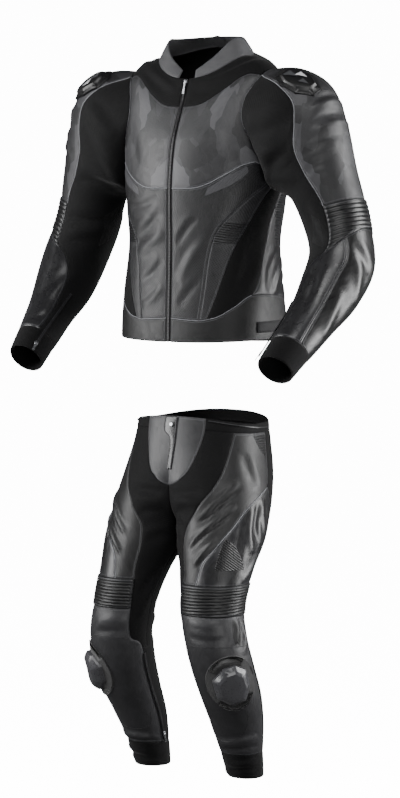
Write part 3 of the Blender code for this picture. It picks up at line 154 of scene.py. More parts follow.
# Folds: surface, side (0 both), half width mm, height mm, then (angle or turn, ring) along the fold.
# Height below 0 is a trough.  Torso angles below 0 are the wearer's right.
FOLDS = (
    ("torso", 0, 11, -3.5, ((-31, 2.15), (-14.5, 2.5), (-4, 2.85))),
    ("torso", 0, 12, 3.5, ((-34, 1.75), (-13, 2.1), (-3, 2.35))),
    ("torso", 0, 10, -3.0, ((-25, 1.3), (-11, 1.5), (-3, 1.75))),
    ("torso", 0, 9, 2.5, ((-19, 0.9), (-10, 1.05), (-3, 1.3))),
    ("torso", 0, 9, -2.5, ((-40, 2.9), (-20, 3.05), (-6, 3.3))),
    ("torso", 0, 12, 3.0, ((5.5, 1.35), (13, 1.75), (27, 2.25))),
    ("torso", 0, 9, -2.5, ((4, 2.05), (10, 2.4), (19, 2.75))),
    ("torso", 0, 10, -2.0, ((5, 0.9), (12, 1.2), (22, 1.45))),
    ("torso", 0, 14, -4.0, ((52, 1.15), (65, 1.75), (74, 2.6))),
    ("torso", 0, 12, 3.0, ((60, 1.2), (76, 1.6), (84, 2.2))),
    ("torso", 0, 16, 2.5, ((30, 5.2), (38, 4.6), (46, 4.3))),
    ("torso", 0, 14, -2.0, ((-44, 5.3), (-34, 4.7), (-26, 4.3))),
    ("torso", 0, 9, -2.2, ((-78, 6.9), (-40, 7.25), (-10, 7.2))),
    ("torso", 0, 7, 2.0, ((-60, 7.45), (-30, 7.6), (-8, 7.45))),
    ("torso", 0, 9, -2.2, ((6, 7.35), (26, 7.1), (48, 6.85))),
    ("torso", 0, 7, 2.2, ((15, 7.65), (46, 7.4), (80, 7.05))),
    ("torso", 0, 8, -2.5, ((60, 7.6), (90, 7.3), (120, 7.4))),
    ("torso", 0, 8, -2.5, ((-60, 7.6), (-95, 7.3), (-125, 7.4))),
    ("torso", 0, 9, -2.5, ((84, 1.15), (92, 1.7), (110, 2.0))),
    ("torso", 0, 8, 3.5, ((88, 1.0), (98, 1.4), (121, 1.75))),
    ("torso", 0, 8, -3.0, ((92, 0.98), (110, 1.25), (132, 1.4))),
    ("torso", 0, 9, 3.0, ((-92, 1.1), (-106, 1.5), (-128, 1.8))),
    ("torso", 0, 9, -3.0, ((-88, 1.4), (-104, 1.9), (-124, 2.1))),
    ("torso", 0, 14, -4.0, ((140, 1.4), (160, 1.9), (178, 2.1))),
    ("torso", 0, 15, 4.0, ((200, 1.2), (185, 1.6), (160, 1.5))),
    ("torso", 0, 16, -4.0, ((220, 2.0), (200, 2.4), (182, 2.5))),
    ("torso", 0, 18, 3.0, ((150, 4.4), (165, 3.6), (172, 2.9))),
    ("torso", 0, 18, 3.0, ((212, 4.5), (198, 3.7), (188, 3.1))),
    ("sleeve", -1, 15, 4.0, ((117, 1.5), (99, 1.0), (78, 0.5))),
    ("sleeve", -1, 14, -4.0, ((100, 2.1), (78, 1.5), (50, 0.6))),
    ("sleeve", -1, 16, 4.5, ((86, 3.0), (51, 2.2), (30, 1.0))),
    ("sleeve", -1, 13, -4.0, ((90, 3.9), (55, 3.2), (20, 2.2))),
    ("sleeve", -1, 12, -3.5, ((96, 4.9), (45, 4.8), (-6, 4.5))),
    ("sleeve", -1, 13, 4.0, ((100, 5.4), (60, 5.3), (10, 5.0))),
    ("sleeve", -1, 12, -3.5, ((92, 6.2), (60, 5.9), (20, 5.6))),
    ("sleeve", -1, 10, 2.5, ((69, 8.25), (54, 7.7), (30, 7.1))),
    ("sleeve", -1, 9, -2.5, ((90, 9.2), (54, 8.8), (36, 8.3))),
    ("sleeve", -1, 8, 4.0, ((128, 2.6), (160, 2.6), (200, 2.7))),
    ("sleeve", -1, 8, -3.5, ((122, 2.95), (150, 3.0), (205, 3.0))),
    ("sleeve", -1, 8, 3.0, ((108, 3.4), (140, 3.4), (180, 3.5))),
    ("sleeve", 1, 8, 5.5, ((134, 2.42), (162, 2.5), (205, 2.55))),
    ("sleeve", 1, 6, -4.5, ((130, 2.66), (158, 2.76), (205, 2.8))),
    ("sleeve", 1, 8, 5.5, ((124, 2.9), (153, 3.02), (208, 3.05))),
    ("sleeve", 1, 6, -4.0, ((112, 3.05), (140, 3.25), (190, 3.3))),
    ("sleeve", 1, 7, 3.0, ((100, 3.3), (122, 3.42), (160, 3.5))),
    ("sleeve", 1, 6, -3.0, ((96, 3.6), (115, 3.62), (140, 3.7))),
    ("sleeve", 1, 6, 2.5, ((96, 3.85), (112, 3.8), (132, 3.9))),
    ("sleeve", 1, 14, 4.5, ((94, 0.3), (108, 0.9), (118, 1.7))),
    ("sleeve", 1, 14, -4.0, ((78, 0.3), (92, 1.2), (104, 2.1))),
    ("sleeve", 1, 16, 5.5, ((63, 0.2), (75, 1.4), (80, 2.9))),
    ("sleeve", 1, 13, -4.5, ((46, 0.6), (66, 1.9), (88, 2.6))),
    ("sleeve", 1, 14, 3.5, ((30, 1.2), (50, 2.6), (74, 3.6))),
    ("sleeve", 1, 11, -3.0, ((72, 4.3), (76, 5.2), (86, 6.0))),
    ("sleeve", 1, 10, -3.0, ((93, 6.7), (92, 7.4), (99, 8.0))),
    ("sleeve", 1, 10, 3.5, ((80, 7.2), (80, 8.0), (92, 8.8))),
    ("sleeve", 1, 12, 3.0, ((150, 7.3), (174, 8.1), (189, 8.6))),
    ("sleeve", 1, 12, -3.0, ((141, 5.7), (165, 6.1), (195, 6.4))),
    ("sleeve", 1, 12, 3.0, ((150, 6.2), (176, 6.8), (200, 7.2))),
    ("sleeve", 0, 14, 4.0, ((250, 1.5), (285, 2.6), (310, 3.2))),
    ("sleeve", 0, 14, -4.0, ((262, 3.4), (300, 4.2), (330, 4.6))),
    ("leg", 1, 6, 5.0, ((125, 2.15), (100, 2.6), (77, 3.25))),
    ("leg", 1, 3.5, -4.5, ((121, 2.5), (98, 2.9), (80, 3.4))),
    ("leg", 1, 6, 5.0, ((125, 2.85), (102, 3.4), (80, 4.2))),
    ("leg", 1, 3.5, -4.5, ((121, 3.1), (100, 3.65), (82, 4.3))),
    ("leg", 1, 6, 4.0, ((118, 3.9), (102, 4.3), (84, 4.75))),
    ("leg", -1, 6, 5.0, ((142, 2.7), (112, 3.2), (90, 3.9))),
    ("leg", -1, 3.5, -4.5, ((138, 3.0), (110, 3.5), (91, 4.12))),
    ("leg", -1, 6, 5.0, ((148, 3.45), (118, 3.9), (92, 4.5))),
    ("leg", -1, 3.5, -4.5, ((145, 3.75), (116, 4.15), (90, 4.7))),
    ("leg", 0, 11, -3.5, ((67, 2.45), (40, 2.5), (12, 2.6))),
    ("leg", 0, 10, 3.5, ((64, 2.9), (43, 2.75), (14, 2.85))),
    ("leg", 0, 10, -3.0, ((60, 3.3), (38, 3.15), (16, 3.2))),
    ("leg", 0, 11, 3.0, ((16, 3.7), (45, 3.75), (66, 4.0))),
    ("leg", 0, 10, -3.5, ((10, 4.9), (22, 5.4), (34, 5.85))),
    ("leg", 0, 10, 3.5, ((8, 5.4), (16, 5.9), (24, 6.5))),
    ("leg", 1, 12, -3.0, ((133, 1.2), (145, 1.8), (163, 2.4))),
    ("leg", 1, 10, 4.0, ((158, 2.9), (160, 3.7), (176, 4.4))),
    ("leg", 1, 7, -3.0, ((170, 2.8), (170, 3.5), (186, 4.2))),
    ("leg", 1, 9, 3.5, ((180, 2.75), (184, 3.3), (200, 4.0))),
    ("leg", 1, 9, -3.0, ((145, 3.4), (147, 4.0), (150, 4.7))),
    ("leg", 1, 9, 3.0, ((192, 4.4), (187, 4.9), (172, 5.25))),
    ("leg", -1, 10, 3.5, ((165, 3.0), (172, 3.8), (190, 4.6))),
    ("leg", -1, 9, -3.0, ((180, 2.9), (188, 3.6), (206, 4.3))),
    ("leg", 1, 10, 3.0, ((70, 6.42), (112, 6.5), (148, 6.5))),
    ("leg", 1, 8, -2.5, ((66, 6.9), (108, 7.0), (146, 6.9))),
    ("leg", -1, 10, 3.0, ((112, 6.7), (79, 6.6), (49, 6.67))),
    ("leg", -1, 8, -2.5, ((112, 7.1), (79, 7.0), (52, 7.0))),
    ("leg", 1, 7, 5.0, ((168, 6.35), (172, 6.7), (162, 7.1))),
    ("leg", 1, 5, -4.0, ((180, 6.5), (184, 6.9), (172, 7.3))),
    ("leg", 1, 6, 4.0, ((188, 6.7), (190, 7.1), (176, 7.5))),
    ("leg", -1, 8, 4.0, ((145, 10.7), (82, 10.75), (49, 10.8))),
    ("leg", -1, 5, -3.5, ((150, 10.95), (73, 10.9), (25, 10.95))),
    ("leg", 1, 8, 4.0, ((49, 10.6), (115, 10.5), (172, 10.35))),
    ("leg", 1, 5, -3.5, ((46, 10.85), (112, 10.75), (178, 10.65))),
    ("leg", 0, 6, 3.0, ((60, 11.35), (121, 11.3), (170, 11.2))),
    ("leg", 0, 5, -2.5, ((70, 11.55), (127, 11.5), (190, 11.5))),
    ("leg", 0, 6, 2.5, ((118, 11.75), (67, 11.75), (22, 11.7))),
    ("leg", 0, 14, -5.0, ((240, 5.6), (290, 6.1), (330, 6.4))),
    ("leg", 0, 13, 5.0, ((236, 6.2), (288, 6.6), (335, 6.8))),
    ("leg", 0, 12, -4.5, ((240, 6.9), (285, 7.1), (330, 7.2))),
    ("leg", 0, 16, -4.0, ((230, 2.6), (280, 3.0), (335, 2.6))),
    ("leg", 0, 14, 3.5, ((232, 3.4), (280, 3.6), (340, 3.2))),
)


# ---- garment surfaces -------------------------------------------------------------------------------------

def spline(rings, place):
    """Points at fractional ring numbers, on a Catmull-Rom curve through the rings."""
    last = len(rings) - 1
    place = np.clip(place, 0, last)
    first = np.minimum(place.astype(int), last - 1)
    part = (place - first)[..., None]
    columns = tuple(np.indices(place.shape)) if rings.ndim > 2 else ()
    before, here, after, beyond = (
        rings[(np.clip(first + step, 0, last),) + columns] for step in (-1, 0, 1, 2)
    )
    return 0.5 * (
        2 * here + (after - before) * part
        + (2 * before - 5 * here + 4 * after - beyond) * part**2
        + (3 * here - before - 3 * after + beyond) * part**3
    )


def signed_power(value, exponent):
    return np.sign(value) * np.abs(value) ** exponent


def torso_ring(row, angle):
    front_z, side_z, back_z, half_width, front_y, side_y, back_y, power = np.moveaxis(row, -1, 0)
    sine, cosine = np.sin(np.radians(angle)), np.cos(np.radians(angle))
    depth = np.where(cosine > 0, front_y - side_y, back_y - side_y)
    drop = np.where(cosine > 0, front_z - side_z, back_z - side_z)
    x = half_width * signed_power(sine, 2 / power)
    y = side_y + depth * np.abs(cosine) ** (2 / power)
    return np.stack([x, y, side_z + drop * cosine**2], -1)


def torso(angle, ring):
    """Angle 0 is the front, 90 the wearer's left side, 180 the back; ring 0 is the hem and 8 the neck."""
    return torso_ring(spline(np.array(TORSO), ring), angle)


def collar(angle, height):
    """Stand collar: height 0 is the neck seam and 1 the top edge."""
    seam, top = np.array(TORSO[-1]), np.array(COLLAR_TOP)
    lift = np.array([0, 0, COLLAR_LIFT])
    return torso_ring(seam + (top - seam) * height[..., None], angle) + lift


def armhole(turn):
    place = np.asarray(turn, float) % 360 / (360 / len(ARMHOLE))
    closed = np.array(ARMHOLE[-1:] + ARMHOLE + ARMHOLE[:2])
    return spline(closed, place + 1)


def sleeve(turn, ring):
    """Left sleeve; turn 0 faces the body, 90 the front, 180 outwards.  Ring 0 is the armhole."""
    along, across = np.cos(np.radians(turn)), np.sin(np.radians(turn))
    seam = armhole(turn)
    rings = [torso(seam[..., 0], seam[..., 1]) + SLEEVE_LIFT * outward(torso, seam)]
    for outer_x, outer_z, inner_x, inner_z, centre_y, half_depth, bend, power in SLEEVE:
        centre = np.array([(outer_x + inner_x) / 2, centre_y, (outer_z + inner_z) / 2])
        outwards = np.array([(outer_x - inner_x) / 2, 0, (outer_z - inner_z) / 2])
        tip = math.radians(bend)
        forwards = half_depth * np.array([0, -math.cos(tip), math.sin(tip)])
        rings.append(centre - signed_power(along, 2 / power)[..., None] * outwards
                     + signed_power(across, 2 / power)[..., None] * forwards)
    return spline(np.array(rings), ring)


def leg_rings(turn, ring):
    rings = []
    for front_z, outer_z, back_z, centre_x, centre_y, half_width, front, back, power in LEG:
        cut = min(1, max(0, centre_x / half_width))
        opening = math.degrees(math.acos(cut ** (power / 2)))
        angle = np.radians(opening + (360 - 2 * opening) * turn / 360)
        across = np.sin(angle)
        x = centre_x - half_width * signed_power(np.cos(angle), 2 / power)
        y = centre_y - np.where(across > 0, front, back) * signed_power(across, 2 / power)
        z = outer_z + np.where(across > 0, front_z - outer_z, back_z - outer_z) * across**2
        rings.append(np.stack([x, y, z], -1))
    return spline(np.array(rings), ring)


def leg(turn, ring):
    """Left leg; turn 0 is the centre front or the inseam, 180 the outer side, 360 the centre back."""
    turn, ring = np.broadcast_arrays(np.asarray(turn, float), np.asarray(ring, float))
    points = leg_rings(turn, ring)
    front, back = leg_rings(0 * turn, ring), leg_rings(0 * turn + 360, ring)
    behind = (turn > 180) & (turn <= 360)
    near = 1 - np.clip(np.where(behind, 360 - turn, np.abs(turn % 360)) / INSEAM_REACH, 0, 1)
    near = near * (ring >= FIRST_CLOSED_RING)
    points = points + near[..., None] * ((front + back) / 2 - np.where(behind[..., None], back, front))
    points[..., 0] = np.maximum(points[..., 0], SEAM_GAP / 2)
    return points


def waist(turn, ring):
    """Top of the trousers all round: below 0 is the wearer's right front, past 360 the right back."""
    right = (turn < 0) | (turn > 360)
    points = leg(np.where(turn > 360, 720 - turn, np.abs(turn)), ring)
    points[..., 0] *= np.where(right, -1, 1)
    points[..., 0] *= np.where((turn == 0) | (turn == 360), 0, 1)
    return points


def outward(surface, grid):
    """Unit normals that point away from the wearer."""
    step = 0.01
    turn, ring = grid[..., 0], grid[..., 1]
    if surface is leg:
        turn = np.where(np.abs(turn) < 0.6, 0.6, np.where(np.abs(turn - 360) < 0.6, 359.4, turn))
    across = surface(turn + 40 * step, ring) - surface(turn - 40 * step, ring)
    along = surface(turn, ring + step) - surface(turn, ring - step)
    normal = np.cross(across, along)
    if surface in (sleeve, leg, waist):
        normal = -normal
    return normal / np.linalg.norm(normal, axis=-1, keepdims=True)


# ---- seam lines and patches -------------------------------------------------------------------------------

def seam(*points):
    """A smooth seam through its points, or through each list of points in turn."""
    points = np.array(points[0] if len(points) == 1 else points, float)
    return spline(points, np.linspace(0, len(points) - 1, 14 * (len(points) - 1) + 1))


def cut(points, start, end):
    """The stretch of a seam between two ring numbers."""
    points = seam(points)
    at = np.interp([start, end], points[:, 1], np.arange(len(points)))
    place = np.linspace(*at, 40)
    return np.stack([np.interp(place, np.arange(len(points)), points[:, k]) for k in (0, 1)], -1)


def straight(first, last):
    return np.linspace(first, last, 20)


def joined(*lines):
    return np.concatenate([part[:-1] for part in lines[:-1]] + [lines[-1]])


def arc(first_turn, last_turn):
    return armhole(np.linspace(first_turn, last_turn, 30))


def mirrored(points):
    return (points * (-1, 1) + (360, 0))[::-1]


def zip_edge(ring):
    row = spline(np.array(TORSO), np.asarray(ring, float))
    across = (ZIP_WIDTH / 2 + SEAM_GAP / 2) / row[..., 3]
    return np.degrees(np.arcsin(across ** (row[..., 7] / 2)))


def zip_line(first, last):
    ring = np.linspace(first, last, 40)
    return np.stack([zip_edge(ring), ring], -1)


def from_zip(points):
    points = np.array(points, float)
    points[0, 0] = zip_edge(points[0, 1])
    return points


def hem_seam(first, last):
    line = seam(HEM_SEAM)
    at = np.linspace(first, last, 40)
    return np.stack([at, np.interp(at, line[:, 0], line[:, 1])], -1)


def measured(line, surface):
    """Share of the line's length reached at each of its points, and that length."""
    points = surface(line[:, 0], line[:, 1])
    steps = np.concatenate([[0], np.cumsum(np.linalg.norm(np.diff(points, axis=0), axis=1))])
    return steps / max(steps[-1], 1e-9), steps[-1]


def at_shares(line, surface, shares):
    reached, _ = measured(line, surface)
    return np.stack([np.interp(shares, reached, line[:, k]) for k in (0, 1)], -1)


def shares_along(length, spacing):
    """Even steps along a length, with close ones beside its two ends for the turned edges."""
    even = np.linspace(0, 1, max(2, round(length / spacing)) + 1)
    near = np.array([0.0010, 0.0024]) / max(length, 0.012)
    inner = even[(even > 1.6 * near[1]) & (even < 1 - 1.6 * near[1])]
    return np.concatenate([[0], near, inner, 1 - near[::-1], [1]])


def patch(surface, spacing, low, high, left, right, spacing_up=None):
    """Coordinates all over a panel, blended from its four edges (a Coons patch)."""
    across_length = max(measured(low, surface)[1], measured(high, surface)[1])
    up_length = max(measured(left, surface)[1], measured(right, surface)[1])
    across = shares_along(across_length, spacing)
    up = shares_along(up_length, spacing_up or spacing)
    low, high = at_shares(low, surface, across), at_shares(high, surface, across)
    left, right = at_shares(left, surface, up), at_shares(right, surface, up)
    a, u = across[:, None, None], up[None, :, None]
    edges = (1 - u) * low[:, None] + u * high[:, None] + (1 - a) * left[None] + a * right[None]
    corners = (1 - a) * ((1 - u) * low[0] + u * high[0]) + a * ((1 - u) * low[-1] + u * high[-1])
    return edges - corners


# ---- folds ------------------------------------------------------------------------------------------------

def fold_height(surface, side, points, normals):
    """How far the folds lift or sink each point of a piece."""
    if surface is waist:
        left = fold_height(leg, 1, points, normals)
        return np.where(points[:, 0] >= 0, left, fold_height(leg, -1, points, normals))
    named = {torso: "torso", sleeve: "sleeve", leg: "leg"}.get(surface)
    height = np.zeros(len(points))
    for where, on_side, half_width, rise, route in FOLDS:
        if where != named or (on_side and where != "torso" and on_side != side):
            continue
        line = seam(route)
        spine = surface(line[:, 0], line[:, 1])
        if where != "torso":
            spine = spine * (side, 1, 1)
        reach = 4.5 * half_width / 1000
        near = ((points > spine.min(0) - reach) & (points < spine.max(0) + reach)).all(-1)
        if near.any():
            height[near] += one_fold(points[near], normals[near], spine, half_width / 1000, rise / 1000)
    return height


def one_fold(points, normals, spine, half_width, rise):
    """A ridge that tapers to its ends, with a slighter trough along one side."""
    starts, steps = spine[:-1], np.diff(spine, axis=0)
    offset = points[:, None] - starts
    along = np.clip((offset * steps).sum(-1) / (steps * steps).sum(-1), 0, 1)
    apart = offset - along[..., None] * steps
    distance = np.linalg.norm(apart, axis=-1)
    nearest = distance.argmin(1)
    row = np.arange(len(points))
    reach = (nearest + along[row, nearest]) / len(steps)
    sideways = np.cross(normals, steps[nearest])
    sign = np.where((apart[row, nearest] * sideways).sum(-1) > 0, 1.0, -1.0)
    t = sign * distance[row, nearest] / half_width
    taper = np.sin(np.pi * np.clip(reach, 0, 1)) ** 0.7
    return rise * taper * (np.exp(-(t**2)) - 0.45 * np.exp(-((t - 1.7) ** 2)))


# ---- making pieces ----------------------------------------------------------------------------------------

def distances(points):
    """Lengths over a piece from its left and its low edge, and from its right and its high edge."""
    across = np.linalg.norm(np.diff(points, axis=0), axis=-1)
    up = np.linalg.norm(np.diff(points, axis=1), axis=-1)
    left = np.concatenate([np.zeros((1, points.shape[1])), np.cumsum(across, 0)])
    low = np.concatenate([np.zeros((points.shape[0], 1)), np.cumsum(up, 1)], 1)
    return left, low, left[-1] - left, low[:, -1:] - low


def lengths_over(grid, points):
    left, low, right, high = distances(points)
    return {"left": left, "low": low, "right": right, "high": high, "turn": grid[..., 0],
            "ring": grid[..., 1]}


def grid_mesh(name, points, uv, marks, closed):
    """A grid operator's mesh laid on the points, with lengths in metres as its UVs."""
    columns, rows = points.shape[:2]
    shape = bmesh.new()
    bmesh.ops.create_grid(shape, x_segments=columns - 1, y_segments=rows - 1, size=0.5)
    places = np.array([vert.co[:2] for vert in shape.verts]) + 0.5
    column = np.rint(places[:, 0] * (columns - 1)).astype(int)
    row = np.rint(places[:, 1] * (rows - 1)).astype(int)
    for vert, point in zip(shape.verts, points[column, row]):
        vert.co = point
    mesh = bpy.data.meshes.new(name)
    shape.to_mesh(mesh)
    shape.free()
    layer = mesh.uv_layers.new(name="cloth")
    corner = np.empty(len(mesh.loops), int)
    mesh.loops.foreach_get("vertex_index", corner)
    laid = np.stack([uv[0][column, row], uv[1][column, row]], -1)
    layer.data.foreach_set("uv", laid[corner].astype(np.float32).ravel())
    for key, values in marks.items():
        made = mesh.attributes.new(key, "FLOAT", "POINT")
        made.data.foreach_set("value", values[column, row].astype(np.float32).ravel())
    if closed:
        shape = bmesh.new()
        shape.from_mesh(mesh)
        bmesh.ops.remove_doubles(shape, verts=shape.verts, dist=1e-5)
        bmesh.ops.recalc_face_normals(shape, faces=shape.faces)
        shape.to_mesh(mesh)
        shape.free()
    return mesh


def face_outwards(mesh, middle_normal, middle):
    """Turns the whole sheet over if its faces look inwards."""
    shape = bmesh.new()
    shape.from_mesh(mesh)
    shape.faces.ensure_lookup_table()
    near = min(shape.faces, key=lambda face: (face.calc_center_median() - Vector(middle)).length_squared)
    near.normal_update()
    if near.normal.dot(Vector(middle_normal)) < 0:
        bmesh.ops.reverse_faces(shape, faces=shape.faces)
    shape.to_mesh(mesh)
    shape.free()


def piece(name, mesh, material, nodes=(), smooth=True):
    """Puts a finished mesh in the scene as a piece of the suit."""
    mesh.materials.append(material)
    if smooth:
        mesh.shade_smooth()
    made = bpy.data.objects.new(name, mesh)
    bpy.context.scene.collection.objects.link(made)
    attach(made, BODY)
    if nodes:
        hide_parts(*nodes)
    return made


def cloth(name, surface, grid, material, nodes=None, side=1, wall=None, lift=0.0, closed=False,
          relief=None, marks=None, crown=1.0, folds=True):
    """A cut piece: laid on its surface, folded, turned in at its edges and given its wall."""
    sizes = bpy.context.scene.suit_sizes
    wall = wall or sizes.wall
    mirror = np.array((side, 1, 1))
    base = surface(grid[..., 0], grid[..., 1]) * mirror
    normals = outward(surface, grid) * mirror
    over = lengths_over(grid, base)
    edge = np.minimum(over["low"], over["high"])
    if not closed:
        edge = np.minimum(edge, np.minimum(over["left"], over["right"]))
    height = lift + crown * sizes.crown * (1 - np.exp(-edge / 0.012))
    height = height - crown * sizes.edge_roll * np.exp(-((edge / 0.0015) ** 2))
    if folds:
        flat = base.reshape(-1, 3)
        height = height + fold_height(surface, side, flat, normals.reshape(-1, 3)).reshape(edge.shape)
    if relief:
        height = height + relief(over)
    points = base + height[..., None] * normals
    if surface is leg:
        # the two legs' walls stay on their own sides of the middle plane
        stand = 0.0002 + wall * np.clip(-side * normals[..., 0], 0, 1)
        points[..., 0] = side * np.maximum(side * points[..., 0], stand)
    fields = {"edge": edge}
    for key, make in (marks or {}).items():
        fields[key] = make(over)
    mesh = grid_mesh(name, points, (over["left"] - over["left"][-1] / 2, over["low"]), fields, closed)
    middle = tuple(size // 2 for size in edge.shape)
    face_outwards(mesh, normals[middle], points[middle])
    made = piece(name + "_cloth", mesh, material, (name,) if nodes is None else nodes)
    thick = made.modifiers.new("wall", "SOLIDIFY")
    thick.thickness = wall
    thick.offset = 1
    cut_area(base)
    return made


def cut_area(points):
    first, second = points[1:, 1:] - points[:-1, :-1], points[1:, :-1] - points[:-1, 1:]
    return 0.5 * np.linalg.norm(np.cross(first, second), axis=-1).sum()


def ribbon(name, surface, route, section, material, side=1, lift=0.0, spacing=0.004, nodes=()):
    """A narrow trim laid along a route on a surface.  section is (sideways, height) across it."""
    length = measured(route, surface)[1]
    spots = at_shares(route, surface, np.linspace(0, 1, max(2, round(length / spacing)) + 1))
    mirror = np.array((side, 1, 1))
    spine = surface(spots[:, 0], spots[:, 1]) * mirror
    normals = outward(surface, spots) * mirror
    tangent = np.gradient(spine, axis=0)
    sideways = np.cross(normals, tangent)
    sideways /= np.linalg.norm(sideways, axis=-1, keepdims=True)
    spine = spine + (lift + fold_height(surface, side, spine, normals))[:, None] * normals
    section = np.array(section)
    points = spine[None] + section[:, 0, None, None] * sideways + section[:, 1, None, None] * normals
    over = lengths_over(np.zeros(points.shape[:2] + (2,)), points)
    mesh = grid_mesh(name, points, (over["left"], over["low"]), {"edge": over["left"]}, False)
    middle = (len(section) // 2, len(spots) // 2)
    face_outwards(mesh, normals[middle[1]], points[middle])
    return piece(name, mesh, material, nodes)


def half_round(radius, count=6):
    """The section of piping: half a circle that stands on the cloth."""
    turns = np.linspace(0, math.pi, count)
    return [(-radius * math.cos(t), radius * math.sin(t)) for t in turns]


def local_frame(surface, place, side):
    """Point, outward normal and the directions down and across at a place."""
    grid = np.array([[place]], float)
    point = surface(grid[..., 0], grid[..., 1])[0, 0] * (side, 1, 1)
    normal = outward(surface, grid)[0, 0] * (side, 1, 1)
    down = surface(grid[..., 0], grid[..., 1] + 0.05)[0, 0] * (side, 1, 1) - point
    down -= normal * down.dot(normal)
    down /= np.linalg.norm(down)
    return point, normal, down, np.cross(normal, down)


def on_surface(surface, place, side, offsets):
    """Coordinates that lie the given (across, down) metres from a place, in its tangent plane."""
    origin, _, down, across = local_frame(surface, place, side)
    step = 0.02

    def plane_position(turn, ring):
        apart = surface(turn, ring) * (side, 1, 1) - origin
        return np.stack([apart @ across, apart @ down], -1)

    target = np.array(offsets, float)
    turn, ring = np.full(len(target), float(place[0])), np.full(len(target), float(place[1]))
    for _ in range(12):
        here = plane_position(turn, ring)
        by_turn = (plane_position(turn + 40 * step, ring) - here) / (40 * step)
        by_ring = (plane_position(turn, ring + step) - here) / step
        slopes = np.stack([by_turn, by_ring], -1)
        change = np.linalg.solve(slopes, (target - here)[..., None])[..., 0]
        turn = turn + np.clip(change[:, 0], -25, 25)
        ring = ring + np.clip(change[:, 1], -0.6, 0.6)
    return np.stack([turn, ring], -1)


def stepped_plate(shape, outline, levels):
    """A plate that steps up and in from its outline: levels are (share of the outline, height)."""
    made = bmesh.ops.create_circle(shape, cap_ends=True, segments=len(outline), radius=1)["verts"]
    for vert, (x, y) in zip(made, outline):
        vert.co = (x, y, 0)
    face = list({face for vert in made for face in vert.link_faces})
    share, height = 1.0, 0.0
    for next_share, next_height in levels:
        grown = bmesh.ops.extrude_face_region(shape, geom=face)["geom"]
        verts = [item for item in grown if isinstance(item, bmesh.types.BMVert)]
        face = [item for item in grown if isinstance(item, bmesh.types.BMFace)]
        bmesh.ops.scale(shape, vec=(next_share / share, next_share / share, 1), verts=verts)
        bmesh.ops.translate(shape, vec=(0, 0, next_height - height), verts=verts)
        share, height = next_share, next_height
    return face


def bend_onto(shape, surface, place, side, lift, flatness=0.6, top=0.02):
    """Bends a flat-made part (across, down, height) onto a surface; its top stays flatter than its foot."""
    origin, normal, down, across = local_frame(surface, place, side)
    flat = np.array([vert.co[:] for vert in shape.verts])
    spots = on_surface(surface, place, side, flat[:, :2])
    ground = surface(*spots.T) * (side, 1, 1)
    sag = (ground - origin) @ normal
    keep = 1 - flatness * np.clip(flat[:, 2] / top, 0, 1)
    points = (origin + flat[:, :1] * across + flat[:, 1:2] * down
              + (sag * keep + lift + flat[:, 2])[:, None] * normal)
    for vert, point in zip(shape.verts, points):
        vert.co = point


def shape_mesh(name, shape):
    bmesh.ops.recalc_face_normals(shape, faces=shape.faces)
    mesh = bpy.data.meshes.new(name)
    shape.to_mesh(mesh)
    shape.free()
    mesh.shade_smooth()
    mesh.set_sharp_from_angle(angle=math.radians(32))
    return mesh


# ---- materials --------------------------------------------------------------------------------------------

WAVE_LENGTH = math.pi / 10   # of the wave texture's bands at a scale of 1


def srgb(text):
    """Linear colour of an sRGB hex value."""
    parts = [int(text[k:k + 2], 16) / 255 for k in (1, 3, 5)]
    return tuple(part / 12.92 if part <= 0.04045 else ((part + 0.055) / 1.055) ** 2.4 for part in parts)


def add(tree, kind, values=(), output=0, **settings):
    """Adds a shader node with its settings and links, and gives one of its outputs.

    values are numbers or the outputs that feed it, in the order of its sockets or by socket.
    """
    node = tree.nodes.new("ShaderNode" + kind)
    for key, value in settings.items():
        setattr(node, key, value)
    for key, value in values.items() if isinstance(values, dict) else enumerate(values):
        socket = node.inputs[key]
        if isinstance(value, bpy.types.NodeSocket):
            tree.links.new(value, socket)
        else:
            socket.default_value = (*value, 1) if socket.type == "RGBA" else value
    return node.outputs[output]


def new_material(name, roughness, metallic=0.0, **sockets):
    """A material and its shader, whose even values are set on the shader itself."""
    material = bpy.data.materials.new(name)
    material.use_nodes = True
    shader = material.node_tree.nodes["Principled BSDF"]
    shader.inputs["Roughness"].default_value = roughness
    shader.inputs["Metallic"].default_value = metallic
    for key, value in sockets.items():
        shader.inputs[key.replace("_", " ")].default_value = value
    return material, material.node_tree, shader


